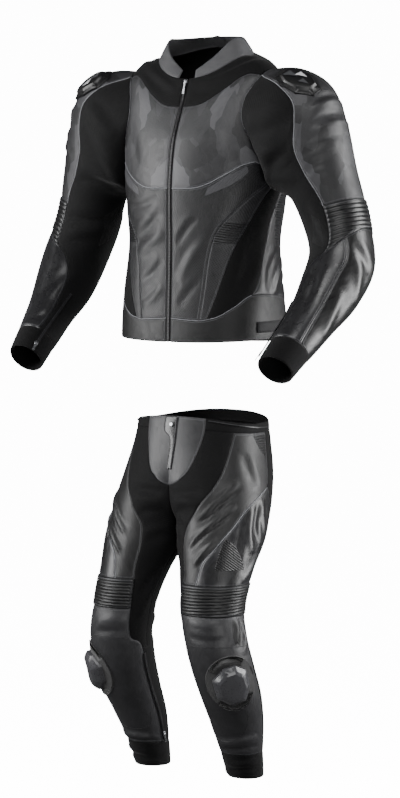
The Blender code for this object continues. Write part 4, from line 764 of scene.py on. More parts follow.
def leather(name, colour, roughness, printed=0.0, holes=False, coat=0.0, edge_highlight=0.25, grain=1.0, mark=None,
            mark_colour=None, print_scale=26.0, print_turn=0.6, ribs=None):
    """Drum-dyed, finished cowhide: pebbled grain, soft creases and a painted highlight on its turned edges.

    printed lays a tonal splinter print of that strength, holes a perforation, mark a second finish inside
    the named field, and ribs a stitched rib pitch inside it.
    """
    material, tree, shader = new_material(name, roughness, Coat_Weight=coat, Coat_Roughness=0.25)
    times, plus = {"operation": "MULTIPLY"}, {"operation": "ADD"}
    over, tint = {"data_type": "RGBA"}, {"data_type": "RGBA", "blend_type": "MULTIPLY"}
    uv = add(tree, "UVMap", uv_map="cloth")
    edge = add(tree, "Attribute", output="Fac", attribute_name="edge")
    # pebbled grain of 2.5 mm cells, drawn coarser than the real 1 mm so that it shows
    pebbles = add(tree, "TexVoronoi", {"Vector": uv, "Scale": 400.0}, "Distance", feature="SMOOTH_F1")
    # soft wrinkles 15 to 30 mm long
    wrinkles = add(tree, "TexNoise", {"Vector": uv, "Scale": 55.0, "Detail": 5.0, "Roughness": 0.6,
                                      "Distortion": 0.8})
    clouds = add(tree, "TexNoise", {"Vector": uv, "Scale": 9.0, "Detail": 3.0})
    tone = add(tree, "MapRange", (clouds, 0.25, 0.75, 0.82, 1.18))
    fine = add(tree, "MapRange", (wrinkles, 0.3, 0.7, 0.88, 1.12))
    tone = add(tree, "Math", (tone, fine), **times)
    height = add(tree, "Math", (pebbles, 0.25 * grain), **times)
    height = add(tree, "Math", (height, add(tree, "Math", (wrinkles, 1.1 * grain), **times)), **plus)
    if printed:
        turned = add(tree, "Mapping", {"Vector": uv, "Rotation": (0, 0, print_turn), "Scale": (1.0, 0.5,
                                                                                               1.0)})
        cells = add(tree, "TexVoronoi", {"Vector": turned, "Scale": print_scale}, "Color",
                    distance="CHEBYCHEV")
        shade = add(tree, "SeparateColor", (cells,))
        greys = add(tree, "ValToRGB", (shade,))
        ramp = greys.node.color_ramp
        ramp.interpolation = "CONSTANT"
        for place, grey in ((0.0, 0.22), (0.28, 0.50), (0.58, 0.34), (0.80, 1.0)):
            stop = ramp.elements[0] if place == 0 else ramp.elements.new(place)
            stop.position = place
            stop.color = (grey, grey, grey, 1)
        ramp.elements.remove(ramp.elements[-1])
        shade = add(tree, "Math", (greys, 2.1 * printed), **times)
        tone = add(tree, "Math", (tone, add(tree, "Math", (shade, 1 - printed), **plus)), **times)
    if holes:
        dots = hole_pattern(tree, uv)
        tone = add(tree, "Math", (tone, add(tree, "MapRange", (dots, 0.20, 0.34, 0.22, 1.12))), **times)
        height = add(tree, "Math", (height, add(tree, "MapRange", (dots, 0.12, 0.3, -1.0, 0.0))), **plus)
    base = add(tree, "Mix", {0: 1.0, 6: linear(colour), 7: tone}, 2, **tint)
    if mark:
        inside = add(tree, "Attribute", output="Fac", attribute_name=mark)
        inside = add(tree, "MapRange", (inside, -0.0004, 0.0004, 0.0, 1.0))
        base = add(tree, "Mix", {0: inside, 6: base, 7: linear(mark_colour)}, 2, **over)
        if ribs:
            wave = add(tree, "TexWave", {"Vector": uv, "Scale": WAVE_LENGTH / ribs}, "Fac",
                       bands_direction="Y")
            wave = add(tree, "Math", (inside, add(tree, "Math", (wave, 4.0), **times)), **times)
            height = add(tree, "Math", (height, wave), **plus)
    # stitching 4 mm in from the edge, in a thread a little lighter than the hide
    stitch = add(tree, "Math", (edge, 0.0042), operation="SUBTRACT")
    stitch = add(tree, "Math", (stitch, 0), operation="ABSOLUTE")
    stitch = add(tree, "MapRange", (stitch, 0.0005, 0.0011, 1.0, 0.0))
    share = add(tree, "Math", (stitch, 0.35), **times)
    base = add(tree, "Mix", {0: share, 6: base, 7: tuple(colours().thread)}, 2, **over)
    # painted highlight: the last 2 mm by each edge is painted lighter, standing in for rim light on the turned
    # edge
    share = add(tree, "Math", (add(tree, "MapRange", (edge, 0.0006, 0.0022, 1.0, 0.0)), edge_highlight), **times)
    base = add(tree, "Mix", {0: share, 6: base, 7: srgb("#5f6063")}, 2, **over)
    height = add(tree, "Math", (height, add(tree, "Math", (stitch, 0.9), **times)), operation="SUBTRACT")
    tree.links.new(base, shader.inputs["Base Color"])
    gloss = add(tree, "MapRange", (wrinkles, 0.3, 0.75, roughness - 0.07, roughness + 0.1))
    tree.links.new(gloss, shader.inputs["Roughness"])
    bump = add(tree, "Bump", {"Height": height, "Strength": 0.55, "Distance": 0.0007})
    tree.links.new(bump, shader.inputs["Normal"])
    return material


def hole_pattern(tree, uv):
    """Distance to the nearest perforation, in pitches; 4.5 mm apart, drawn twice as coarse as punched."""
    scaled = add(tree, "VectorMath", {0: uv, "Scale": 222.0}, operation="SCALE")
    turned = add(tree, "Mapping", {"Vector": scaled, "Rotation": (0, 0, math.pi / 4)})
    cell = add(tree, "VectorMath", (turned,), operation="FRACTION")
    offset = add(tree, "VectorMath", (cell, (0.5, 0.5, 0.0)), operation="SUBTRACT")
    flat = add(tree, "VectorMath", (offset, (1.0, 1.0, 0.0)), operation="MULTIPLY")
    return add(tree, "VectorMath", (flat,), "Value", operation="LENGTH")


def knit(name, colour, roughness=0.75, sheen=0.10, ribs=None, mark=None, mark_colour=None):
    """Stretch knit: matt, with a soft sheen towards its edges of view; ribs are rows of raised courses."""
    material, tree, shader = new_material(name, roughness, Sheen_Weight=sheen, Sheen_Roughness=0.45,
                                          Specular_IOR_Level=0.2)
    times = {"operation": "MULTIPLY"}
    uv = add(tree, "UVMap", uv_map="cloth")
    # knit loops, drawn at 2 mm so that they show
    loops = add(tree, "TexWave", {"Vector": uv, "Scale": 80.0, "Distortion": 1.5, "Detail": 2.0}, "Fac",
                bands_direction="DIAGONAL")
    clouds = add(tree, "TexNoise", {"Vector": uv, "Scale": 14.0, "Detail": 4.0})
    tone = add(tree, "MapRange", (clouds, 0.25, 0.75, 0.85, 1.15))
    base = add(tree, "Mix", {0: 1.0, 6: linear(colour), 7: tone}, 2, data_type="RGBA", blend_type="MULTIPLY")
    height = add(tree, "Math", (loops, 0.35), **times)
    if ribs:
        wave = add(tree, "TexWave", {"Vector": uv, "Scale": WAVE_LENGTH / ribs}, "Fac", bands_direction="Y")
        inside = 1.0
        if mark:
            inside = add(tree, "Attribute", output="Fac", attribute_name=mark)
            inside = add(tree, "MapRange", (inside, -0.0004, 0.0004, 0.0, 1.0))
        raised = add(tree, "Math", (wave, inside), **times)
        height = add(tree, "Math", (height, add(tree, "Math", (raised, 3.0), **times)), operation="ADD")
        share = add(tree, "Math", (raised, 0.8), **times)
        base = add(tree, "Mix", {0: share, 6: base, 7: linear(mark_colour)}, 2, data_type="RGBA")
    tree.links.new(base, shader.inputs["Base Color"])
    bump = add(tree, "Bump", {"Height": height, "Strength": 0.5, "Distance": 0.0006})
    tree.links.new(bump, shader.inputs["Normal"])
    return material


def moulded(name, colour, roughness, coat=0.0, metallic=0.0, speck=0.06):
    """Moulded polyurethane or plated zinc: an even colour with fine scuffs that break its gloss."""
    material, tree, shader = new_material(name, roughness, metallic, Coat_Weight=coat, Coat_Roughness=0.12)
    place = add(tree, "TexCoord", output="Object")
    scuffs = add(tree, "TexNoise", {"Vector": place, "Scale": 260.0, "Detail": 6.0})
    cloud = add(tree, "TexNoise", {"Vector": place, "Scale": 30.0, "Detail": 2.0})
    tone = add(tree, "MapRange", (cloud, 0.3, 0.7, 0.9, 1.1))
    base = add(tree, "Mix", {0: 1.0, 6: linear(colour), 7: tone}, 2, data_type="RGBA", blend_type="MULTIPLY")
    tree.links.new(base, shader.inputs["Base Color"])
    gloss = add(tree, "MapRange", (scuffs, 0.3, 0.75, roughness - speck, roughness + 2 * speck))
    tree.links.new(gloss, shader.inputs["Roughness"])
    bump = add(tree, "Bump", {"Height": scuffs, "Strength": 0.15, "Distance": 0.0003})
    tree.links.new(bump, shader.inputs["Normal"])
    return material


def pile(name, colour):
    """Hook-and-loop pile: a dull black fuzz with no gloss."""
    material, tree, shader = new_material(name, 0.95, Sheen_Weight=0.25, Sheen_Roughness=0.6)
    place = add(tree, "TexCoord", output="Object")
    fuzz = add(tree, "TexNoise", {"Vector": place, "Scale": 600.0, "Detail": 4.0})
    tone = add(tree, "MapRange", (fuzz, 0.3, 0.7, 0.6, 1.4))
    base = add(tree, "Mix", {0: 1.0, 6: linear(colour), 7: tone}, 2, data_type="RGBA", blend_type="MULTIPLY")
    tree.links.new(base, shader.inputs["Base Color"])
    bump = add(tree, "Bump", {"Height": fuzz, "Strength": 0.8, "Distance": 0.0010})
    tree.links.new(bump, shader.inputs["Normal"])
    return material


def colours():
    return bpy.context.scene.suit_colours


def linear(colour):
    """A linear colour, from an sRGB hex value or a colour setting."""
    return srgb(colour) if isinstance(colour, str) else tuple(colour)


def finish(key):
    """The suit's materials, each made once."""
    if key not in FINISHES:
        FINISHES[key] = FINISH_RECIPES[key](key)
    return FINISHES[key]


FINISHES = {}
FINISH_RECIPES = {
    "chest_cowhide": lambda n: leather(n, colours().chest, 0.46, printed=0.75, mark="mesh",
                                       mark_colour="#29292b"),
    "body_cowhide": lambda n: leather(n, colours().body, 0.42, holes=True, mark="sliver",
                                      mark_colour=colours().sliver),
    "back_cowhide": lambda n: leather(n, colours().back, 0.36, mark="ribbed", mark_colour="#1d1d1f",
                                      ribs=0.006),
    "hem_cowhide": lambda n: leather(n, "#0f0f10", 0.52),
    "collar_cowhide": lambda n: leather(n, colours().collar, 0.55, edge_highlight=0.15),
    "shoulder_cowhide": lambda n: leather(n, colours().shoulder, 0.5, printed=0.85, print_turn=1.1,
                                          mark="mesh",
                                          mark_colour="#1c1c1e"),
    "forearm_cowhide": lambda n: leather(n, colours().forearm, 0.34, coat=0.12, printed=0.3,
                                         print_scale=12.0),
    "forearm_front_cowhide": lambda n: leather(n, "#202022", 0.31, coat=0.2, printed=0.4, print_scale=15.0),
    "strip_cowhide": lambda n: leather(n, "#232325", 0.42, holes=True, mark="ribbed", mark_colour="#161618",
                                       ribs=0.006),
    "elbow_leather": lambda n: leather(n, colours().elbow, 0.33, edge_highlight=0.1),
    "fly_cowhide": lambda n: leather(n, colours().fly, 0.44, edge_highlight=0.15),
    "fly_flap_cowhide": lambda n: leather(n, "#1d1d1f", 0.25, coat=0.3, edge_highlight=0.1),
    "thigh_cowhide": lambda n: leather(n, colours().thigh, 0.46, mark="hip", mark_colour="#151516",
                                       ribs=0.0055),
    "outer_thigh_cowhide": lambda n: leather(n, colours().outer_thigh, 0.36, coat=0.15, printed=0.9,
                                             print_scale=17.0,
                                             print_turn=-0.5, mark="ribbed", mark_colour="#151516",
                                             ribs=0.005),
    "knee_leather": lambda n: leather(n, "#111112", 0.44, edge_highlight=0.1),
    "shin_cowhide": lambda n: leather(n, colours().shin, 0.47, mark="gusset", mark_colour="#141415"),
    "stretch_knit": lambda n: knit(n, colours().knit, sheen=0.04),
    "sleeve_knit": lambda n: knit(n, colours().knit, ribs=0.006, mark="ribbed", mark_colour="#1a1a1b"),
    "yoke_knit": lambda n: knit(n, "#070708", roughness=0.75, sheen=0.06),
    "cuff_neoprene": lambda n: knit(n, "#050506", roughness=0.85, sheen=0.08),
    "leg_cuff_knit": lambda n: knit(n, "#070708", roughness=0.8, sheen=0.10),
    "piping": lambda n: moulded(n, "#7b7c80", 0.5),
    "dark_piping": lambda n: moulded(n, "#232325", 0.55),
    "zip_tape": lambda n: knit(n, "#0c0c0d", roughness=0.8, sheen=0.15),
    "zip_coil": lambda n: moulded(n, "#2a2a2c", 0.35),
    "nickel": lambda n: moulded(n, colours().metal, 0.25, metallic=1.0),
    "strap_web": lambda n: knit(n, "#1b1b1d", roughness=0.6),
    "puck_urethane": lambda n: moulded(n, "#434346", 0.30, coat=0.4),
    "plate_urethane": lambda n: moulded(n, "#0d0d0e", 0.38, coat=0.2),
    "plate_facet": lambda n: moulded(n, "#4a4b4e", 0.4, coat=0.2),
    "plate_light_facet": lambda n: moulded(n, "#e4e4e6", 0.3, coat=0.5),
    "hook_pile": lambda n: pile(n, "#101011"),
    "label_satin": lambda n: moulded(n, "#3d3d3f", 0.5),
}


# ---- marks: places on a piece that have another finish ----------------------------------------------------

def inside_polygon(corners, turn_scale, ring_scale):
    """A field of metres inside (above 0) or outside a convex outline of (turn, ring) corners."""
    corners = np.array(corners, float) * (turn_scale, ring_scale)
    middle = corners.mean(0)

    def make(over):
        place = np.stack([over["turn"] * turn_scale, over["ring"] * ring_scale], -1)
        depth = np.full(place.shape[:-1], 1.0)
        for here, after in zip(corners, np.roll(corners, -1, 0)):
            along = after - here
            normal = np.array([-along[1], along[0]]) / np.hypot(*along)
            if (middle - here) @ normal < 0:
                normal = -normal
            depth = np.minimum(depth, (place - here) @ normal)
        return depth

    return make


def either(*fields):
    return lambda over: np.max([make(over) for make in fields], axis=0)


def ribbing(pitch, rise, margin=0.005):
    """Rounded ribs across a piece, with narrow valleys, that die out before its two sides."""
    def relief(over):
        fade = np.clip(np.minimum(over["left"], over["right"]) / margin, 0, 1)
        ends = np.clip(np.minimum(over["low"], over["high"]) / 0.002, 0, 1)
        wave = np.abs(np.sin(np.pi * over["low"] / pitch))
        return rise * fade * ends * (wave**0.6)
    return relief


# ---- the add-on's settings --------------------------------------------------------------------------------

def length_property(name, description, default):
    return bpy.props.FloatProperty(name=name, description=description, default=default, min=0.0,
                                   unit="LENGTH", subtype="DISTANCE", precision=4)


def colour_property(name, description, default):
    return bpy.props.FloatVectorProperty(name=name, description=description, default=srgb(default), size=3,
                                         min=0.0, max=1.0, subtype="COLOR")


class SuitSizes(bpy.types.PropertyGroup):
    """Lengths that all the pieces share."""

    wall: length_property("Cloth wall", "Thickness of the leather and its backing", 0.0015)
    crown: length_property("Crown", "How far a panel rises inside its seams", 0.0010)
    edge_roll: length_property("Turned edge", "How far a panel's edge rolls into its seam", 0.0011)
    spacing: length_property("Spacing", "Distance between the cloth's vertices", 0.0050)
    rib_spacing: length_property("Rib spacing", "Distance between vertices across the ribs", 0.0014)
    elbow_pitch: length_property("Elbow rib pitch", "From one elbow rib to the next", 0.0100)
    knee_pitch: length_property("Knee rib pitch", "From one knee rib to the next", 0.0072)
    rib_rise: length_property("Rib rise", "Height of the stretch panels' ribs", 0.0030)
    piping: length_property("Piping radius", "Radius of the piping along the seams", 0.0011)
    tooth_pitch: length_property("Tooth pitch", "From one zip tooth to the next", 0.0032)
    camera_distance: length_property("Camera distance", "From the camera to the suit's middle", 6.5)


class SuitColours(bpy.types.PropertyGroup):
    """Colours of the suit's leathers and fabrics."""

    chest: colour_property("Chest", "Lighter printed cowhide of the chest", "#3b3b3d")
    body: colour_property("Body", "Perforated cowhide of the fronts", "#1d1d1f")
    sliver: colour_property("Sliver", "Lighter insert under the chest hem", "#464649")
    back: colour_property("Back", "Cowhide of the back", "#18181a")
    collar: colour_property("Collar", "Smooth cowhide of the collar", "#4a4a4c")
    shoulder: colour_property("Shoulder", "Printed cowhide of the shoulders", "#2a2a2c")
    forearm: colour_property("Forearm", "Glossy cowhide of the forearms", "#151516")
    elbow: colour_property("Elbow and knee", "Leather of the accordion ribs", "#161617")
    thigh: colour_property("Thigh", "Cowhide of the thigh fronts", "#131314")
    outer_thigh: colour_property("Outer thigh", "Glossy printed cowhide of the outer thighs", "#1a1a1c")
    shin: colour_property("Shin", "Cowhide of the knees and shins", "#2c2c2e")
    fly: colour_property("Fly", "Lighter cowhide round the trousers' zip", "#303032")
    knit: colour_property("Stretch knit", "Black stretch fabric", "#070708")
    # the lighter turned edges are not this colour: they are a painted highlight in leather()
    thread: colour_property("Thread", "Stitching and worn edges", "#55565a")
    metal: colour_property("Metal", "Plated zip pulls and sliders", "#b9bbbf")
    backdrop: colour_property("Backdrop", "Studio floor and backdrop", "#ffffff")


# ---- seam lines shared by neighbouring panels -------------------------------------------------------------

def to_armhole(line, turn):
    return np.concatenate([line, armhole(np.array([float(turn)]))])


def chest_hem():
    return to_armhole(seam(from_zip(CHEST_HEM)), CHEST_END)


def yoke_front():
    return to_armhole(seam(from_zip(YOKE_FRONT)), YOKE_TURN)


def strip_front():
    return to_armhole(seam(STRIP_FRONT), STRIP_END)


def strip_back():
    return to_armhole(seam(STRIP_BACK), SIDE_END)


def side_seam():
    return to_armhole(seam(SIDE_SEAM), BACK_TURN)


def behind_shoulder():
    return np.concatenate([armhole(np.array([float(SHOULDER_BACK)])), seam(YOKE_BACK)])


def fly_side():
    return cut(FLY_EDGE, WAISTBAND_SEAM, 2.15)


def thigh_side():
    return seam(THIGH_SIDE)


def knee_sides():
    inner = straight((53, KNEE_TOP), (46, KNEE_BOTTOM))
    return inner, straight((225, KNEE_TOP), (215, KNEE_BOTTOM))


# ---- operators --------------------------------------------------------------------------------------------

SIDES = (("L", 1), ("R", -1))


def settings():
    return bpy.context.scene.suit_sizes


class SuitOperator(bpy.types.Operator):
    """Shared base of the suit's operators."""

    bl_idname = "suit.base"
    bl_label = "Suit piece"
    bl_options = {"REGISTER", "UNDO"}


class SUIT_OT_chest(SuitOperator):
    """Lighter printed chest panels, piped along their hem and armholes."""

    bl_idname = "suit.chest"
    bl_label = "Chest panels"

    def execute(self, context):
        gap = settings().spacing
        mesh_left = inside_polygon(((12, 4.15), (23, 4.3), (24, 5.0), (13, 4.75)), 0.0028, 0.085)
        mesh_right = inside_polygon(((15, 4.2), (28, 4.35), (29, 4.95), (16, 4.85)), 0.0028, 0.085)
        band = inside_polygon(((-5, 3.5), (30, 3.62), (52, 4.05), (50, 4.32), (30, 3.98), (-5, 3.84)),
                              0.0028, 0.085)
        for letter, side in SIDES:
            pipes = [
                ribbon("chest_hem_piping_" + letter, torso, chest_hem(), half_round(settings().piping),
                       finish("piping"), side, 0.0014),
                ribbon("armhole_piping_" + letter, torso, arc(CHEST_END, YOKE_TURN),
                       half_round(settings().piping), finish("piping"), side, 0.0026),
            ]
            grid = patch(torso, gap, chest_hem(), yoke_front(), zip_line(3.60, 6.62), arc(CHEST_END,
                                                                                          YOKE_TURN))
            cloth("chest_" + letter, torso, grid, finish("chest_cowhide"), side=side,
                  marks={"mesh": either(mesh_left if side > 0 else mesh_right, band)})
        return {"FINISHED"}


class SUIT_OT_fronts(SuitOperator):
    """Perforated front panels with a lighter sliver under the chest hem."""

    bl_idname = "suit.fronts"
    bl_label = "Front panels"

    def execute(self, context):
        sliver = inside_polygon(((24, 3.35), (44, 3.72), (60, 4.1), (58, 4.25), (40, 3.98), (26, 3.62)),
                                0.0028, 0.085)
        for letter, side in SIDES:
            right = joined(strip_front(), arc(STRIP_END, CHEST_END))
            grid = patch(torso, settings().spacing, hem_seam(zip_edge(0.66), 19), chest_hem(),
                         zip_line(0.66, 3.60), right)
            cloth("front_" + letter, torso, grid, finish("body_cowhide"), side=side,
                  marks={"sliver": sliver})
        return {"FINISHED"}


class SUIT_OT_sides(SuitOperator):
    """Slanting strips with a ribbed patch, and the black stretch sides behind them."""

    bl_idname = "suit.sides"
    bl_label = "Strips and stretch sides"

    def execute(self, context):
        gap = settings().spacing
        ribbed = inside_polygon(((20, 2.1), (80, 2.1), (80, 2.6), (20, 2.6)), 0.0028, 0.085)
        for letter, side in SIDES:
            pipe = ribbon("strip_piping_" + letter, torso, strip_front(), half_round(0.0008),
                          finish("dark_piping"), side, 0.0014)
            grid = patch(torso, gap, hem_seam(19, 25), arc(STRIP_END, SIDE_END), strip_front(), strip_back())
            cloth("rib_strip_" + letter, torso, grid, finish("strip_cowhide"), side=side,
                  marks={"ribbed": ribbed})
            grid = patch(torso, gap, hem_seam(25, 66), arc(SIDE_END, BACK_TURN), strip_back(), side_seam())
            cloth("side_" + letter, torso, grid, finish("stretch_knit"), side=side)
        return {"FINISHED"}


class SUIT_OT_back(SuitOperator):
    """Back panel, from side seam to side seam, with ribbed patches at its sides."""

    bl_idname = "suit.back"
    bl_label = "Back panel"

    def execute(self, context):
        left = joined(side_seam(), arc(BACK_TURN, SHOULDER_BACK - 360))
        half = hem_seam(66, 180)
        top = behind_shoulder()
        grid = patch(torso, settings().spacing, joined(half, mirrored(half)), joined(top, mirrored(top)),
                     left, left * (-1, 1) + (360, 0))
        corners = ((88, 3.6), (104.5, 3.95), (119.5, 2.65), (98.5, 1.95))
        other = [(360 - turn, ring) for turn, ring in corners]
        ribbed = either(inside_polygon(corners, 0.0028, 0.085), inside_polygon(other, 0.0028, 0.085))
        cloth("back", torso, grid, finish("back_cowhide"), marks={"ribbed": ribbed})
        return {"FINISHED"}


class SUIT_OT_yoke(SuitOperator):
    """Dark stretch yoke round the neck."""

    bl_idname = "suit.yoke"
    bl_label = "Neck yoke"

    def execute(self, context):
        half = joined(yoke_front(), arc(YOKE_TURN, SHOULDER_BACK), behind_shoulder())
        top = np.stack([zip_edge(8.0) + (180 - zip_edge(8.0)) * np.linspace(0, 1, 60), np.full(60, 8.0)], -1)
        edge = zip_line(6.62, 8.0)
        grid = patch(torso, settings().spacing, joined(half, mirrored(half)), joined(top, mirrored(top)),
                     edge, edge * (-1, 1) + (360, 0))
        cloth("neck_yoke", torso, grid, finish("yoke_knit"))
        return {"FINISHED"}


class SUIT_OT_collar(SuitOperator):
    """Stand collar, lower at the front, with a bare round label inside its back."""

    bl_idname = "suit.collar"
    bl_label = "Collar"

    def execute(self, context):
        turns = np.linspace(9, 351, 110)
        heights = np.linspace(-0.045, 1, 14)
        corner = np.clip((np.minimum(turns, 360 - turns) - 9) / 14, 0, 1)
        grid = np.stack(np.broadcast_arrays(turns[:, None],
                                            heights * (0.72 + 0.28 * corner[:, None] ** 0.6)), -1)
        shape = bmesh.new()
        bmesh.ops.create_circle(shape, cap_ends=True, segments=32, radius=0.016)
        origin, normal, down, across = local_frame(collar, (186, 0.55), 1)
        turned = Matrix((across, down, normal)).transposed().to_4x4()
        place = Vector(origin - 0.0022 * normal)
        bmesh.ops.transform(shape, matrix=Matrix.Translation(place) @ turned, verts=shape.verts)
        label = piece("neck_label", shape_mesh("neck_label", shape), finish("label_satin"))
        cloth("collar", collar, grid, finish("collar_cowhide"), folds=False)
        return {"FINISHED"}


class SUIT_OT_hem(SuitOperator):
    """Hem bands and the adjuster straps on them."""

    bl_idname = "suit.hem"
    bl_label = "Hem bands and straps"

    def execute(self, context):
        for letter, side in SIDES:
            start = zip_edge(0.66)
            pipe = ribbon("hem_piping_" + letter, torso, hem_seam(start, 66), half_round(0.0009),
                          finish("piping"), side, 0.0014)
            top = hem_seam(start, 180)
            low = top * (1, 0)
            low[0, 0] = zip_edge(0.0)
            grid = patch(torso, settings().spacing, low, top, zip_line(0.0, 0.66),
                         straight((180, 0.0), (180, 0.86)))
            cloth("hem_band_" + letter, torso, grid, finish("hem_cowhide"), side=side)
            grid = patch(torso, 0.004, straight((70, 0.26), (104, 0.26)), straight((70, 0.50), (104, 0.50)),
                         straight((70, 0.26), (70, 0.50)), straight((104, 0.26), (104, 0.50)))
            cloth("waist_strap_" + letter, torso, grid, finish("strap_web"), side=side,
                  wall=0.0020, lift=0.0030)
        return {"FINISHED"}


class SUIT_OT_sleeves(SuitOperator):
    """Shoulder panels and the black stretch inner sleeves."""

    bl_idname = "suit.sleeves"
    bl_label = "Shoulders and inner sleeves"

    def execute(self, context):
        gap = settings().spacing
        facets = inside_polygon(((110, 3.7), (150, 3.35), (165, 3.9), (130, 4.3)), 0.0013, 0.10)
        for letter, side in SIDES:
            pipe = ribbon("cap_piping_" + letter, sleeve, cut(SLEEVE_FRONT, 0.05, CAP_END),
                          half_round(0.0010), finish("piping"), side, 0.0014)
            grid = patch(sleeve, gap, straight((158, 0.0), (208, 0.0)),
                         straight((104, CAP_END), (243, CAP_END)), cut(SLEEVE_FRONT, 0, CAP_END),
                         cut(SLEEVE_BACK, 0, CAP_END))
            cloth("shoulder_" + letter, sleeve, grid, finish("shoulder_cowhide"), side=side,
                  marks={"mesh": facets})
            corners = (((17, 5.8), (28, 4.6), (0, 4.2), (-12, 5.2)) if side < 0 else
                       ((60, 5.7), (78, 4.7), (92, 4.9), (86, 6.0)))
            grid = patch(sleeve, gap, straight((SHOULDER_BACK - 360, 0.0), (YOKE_TURN, 0.0)),
                         straight((-98, SLEEVE_CUFF), (54, SLEEVE_CUFF)),
                         cut(SLEEVE_BACK, 0, SLEEVE_CUFF) - (360, 0), cut(SLEEVE_FRONT, 0, SLEEVE_CUFF))
            cloth("inner_sleeve_" + letter, sleeve, grid, finish("sleeve_knit"), side=side,
                  marks={"ribbed": inside_polygon(corners, 0.0013, 0.07)})
        return {"FINISHED"}


class SUIT_OT_forearms(SuitOperator):
    """Accordion elbows, forearm panels and cuffs."""

    bl_idname = "suit.forearms"
    bl_label = "Elbows, forearms and cuffs"

    def execute(self, context):
        sizes = settings()
        gap = sizes.spacing
        split = seam(ELBOW_HEM)
        corner = 28    # where the split meets the forearm seam: the third point of its table
        outline = np.concatenate([split[corner:corner + 1], seam(FOREARM_SEAM[1:])])
        ring = np.stack([np.linspace(0, 360, 60), np.full(60, SLEEVE_CUFF)], -1)
        for letter, side in SIDES:
            grid = patch(sleeve, gap, straight((104, CAP_END), (243, CAP_END)), split,
                         cut(SLEEVE_FRONT, CAP_END, 6.20), cut(SLEEVE_BACK, CAP_END, 5.40),
                         spacing_up=sizes.rib_spacing)
            cloth("elbow_" + letter, sleeve, grid, finish("elbow_leather"), side=side,
                  relief=ribbing(sizes.elbow_pitch, sizes.rib_rise))
            grid = patch(sleeve, gap, split[:corner + 1], straight((54, SLEEVE_CUFF), (150, SLEEVE_CUFF)),
                         cut(SLEEVE_FRONT, 6.20, SLEEVE_CUFF), outline)
            cloth("forearm_front_" + letter, sleeve, grid, finish("forearm_front_cowhide"),
                  side=side)
            grid = patch(sleeve, gap, split[corner:], straight((150, SLEEVE_CUFF), (262, SLEEVE_CUFF)),
                         outline, cut(SLEEVE_BACK, 5.40, SLEEVE_CUFF))
            cloth("forearm_outer_" + letter, sleeve, grid, finish("forearm_cowhide"),
                  side=side)
            grid = patch(sleeve, 0.004, ring, ring * (1, 0) + (0, SLEEVE_END),
                         straight((0, SLEEVE_CUFF), (0, SLEEVE_END)),
                         straight((360, SLEEVE_CUFF), (360, SLEEVE_END)))
            cloth("sleeve_cuff_" + letter, sleeve, grid, finish("cuff_neoprene"), side=side,
                  closed=True)
        return {"FINISHED"}


class SUIT_OT_waist(SuitOperator):
    """Waistband, lighter fly panel and the curved flap over the trousers' zip."""

    bl_idname = "suit.waist"
    bl_label = "Waistband and fly"

    def execute(self, context):
        gap = settings().spacing
        half_turn = FLY_EDGE[0][0]
        upper = cut(FLY_EDGE, 0.0, WAISTBAND_SEAM)
        grid = patch(waist, gap, straight((half_turn, 0.0), (720 - half_turn, 0.0)),
                     straight((52, WAISTBAND_SEAM), (668, WAISTBAND_SEAM)), upper, upper * (-1, 1) + (720, 0))
        cloth("waistband", waist, grid, finish("stretch_knit"))
        edge = joined(upper, fly_side())
        bottom = seam(FLY_BOTTOM)
        pipe = ribbon("fly_piping", waist, edge, half_round(0.0009), finish("dark_piping"),
                      1, 0.0014)
        grid = patch(waist, gap, straight((-half_turn, 0.0), (half_turn, 0.0)),
                     joined(bottom * (-1, 1), bottom[::-1]), edge * (-1, 1), edge)
        cloth("fly_panel", waist, grid, finish("fly_cowhide"))
        grid = patch(waist, 0.004, straight((-13, 0.06), (5, 0.06)), straight((-4, 1.80), (5, 1.80)),
                     seam((-13, 0.06), (-13, 0.55), (-4, 0.85), (-4, 1.80)), straight((5, 0.06), (5, 1.80)))
        cloth("fly_flap", waist, grid, finish("fly_flap_cowhide"), lift=0.0030)
        return {"FINISHED"}


class SUIT_OT_thighs(SuitOperator):
    """Thigh fronts with their raised pleats, and the glossy printed outer thighs."""

    bl_idname = "suit.thighs"
    bl_label = "Thighs"

    def execute(self, context):
        gap = settings().spacing
        hip = inside_polygon(((157, 0.55), (172, 1.05), (190, 1.5), (194, 0.60)), 0.0014, 0.066)
        rib = inside_polygon(((127, 3.9), (142, 4.05), (169, 4.88), (118, 4.88)), 0.0014, 0.07)
        for letter, side in SIDES:
            pipe = ribbon("thigh_piping_" + letter, leg, seam(THIGH_DIAGONAL), half_round(0.0010),
                          finish("piping"), side, 0.0014)
            right = np.concatenate([seam(HIP_SIDE), seam(THIGH_DIAGONAL)])
            grid = patch(leg, gap, straight((111, WAISTBAND_SEAM), (196, WAISTBAND_SEAM)),
                         straight((53, KNEE_TOP), (88, KNEE_TOP)), seam(STRETCH_SEAM), right)
            cloth("thigh_front_" + letter, leg, grid, finish("thigh_cowhide"), side=side,
                  marks={"hip": hip})
            diagonal, outer = seam(THIGH_DIAGONAL), thigh_side()
            grid = patch(leg, gap, straight(diagonal[0], outer[0]), straight((88, KNEE_TOP), (225, KNEE_TOP)),
                         diagonal, outer)
            cloth("thigh_outer_" + letter, leg, grid, finish("outer_thigh_cowhide"),
                  side=side, marks={"ribbed": rib})
        return {"FINISHED"}


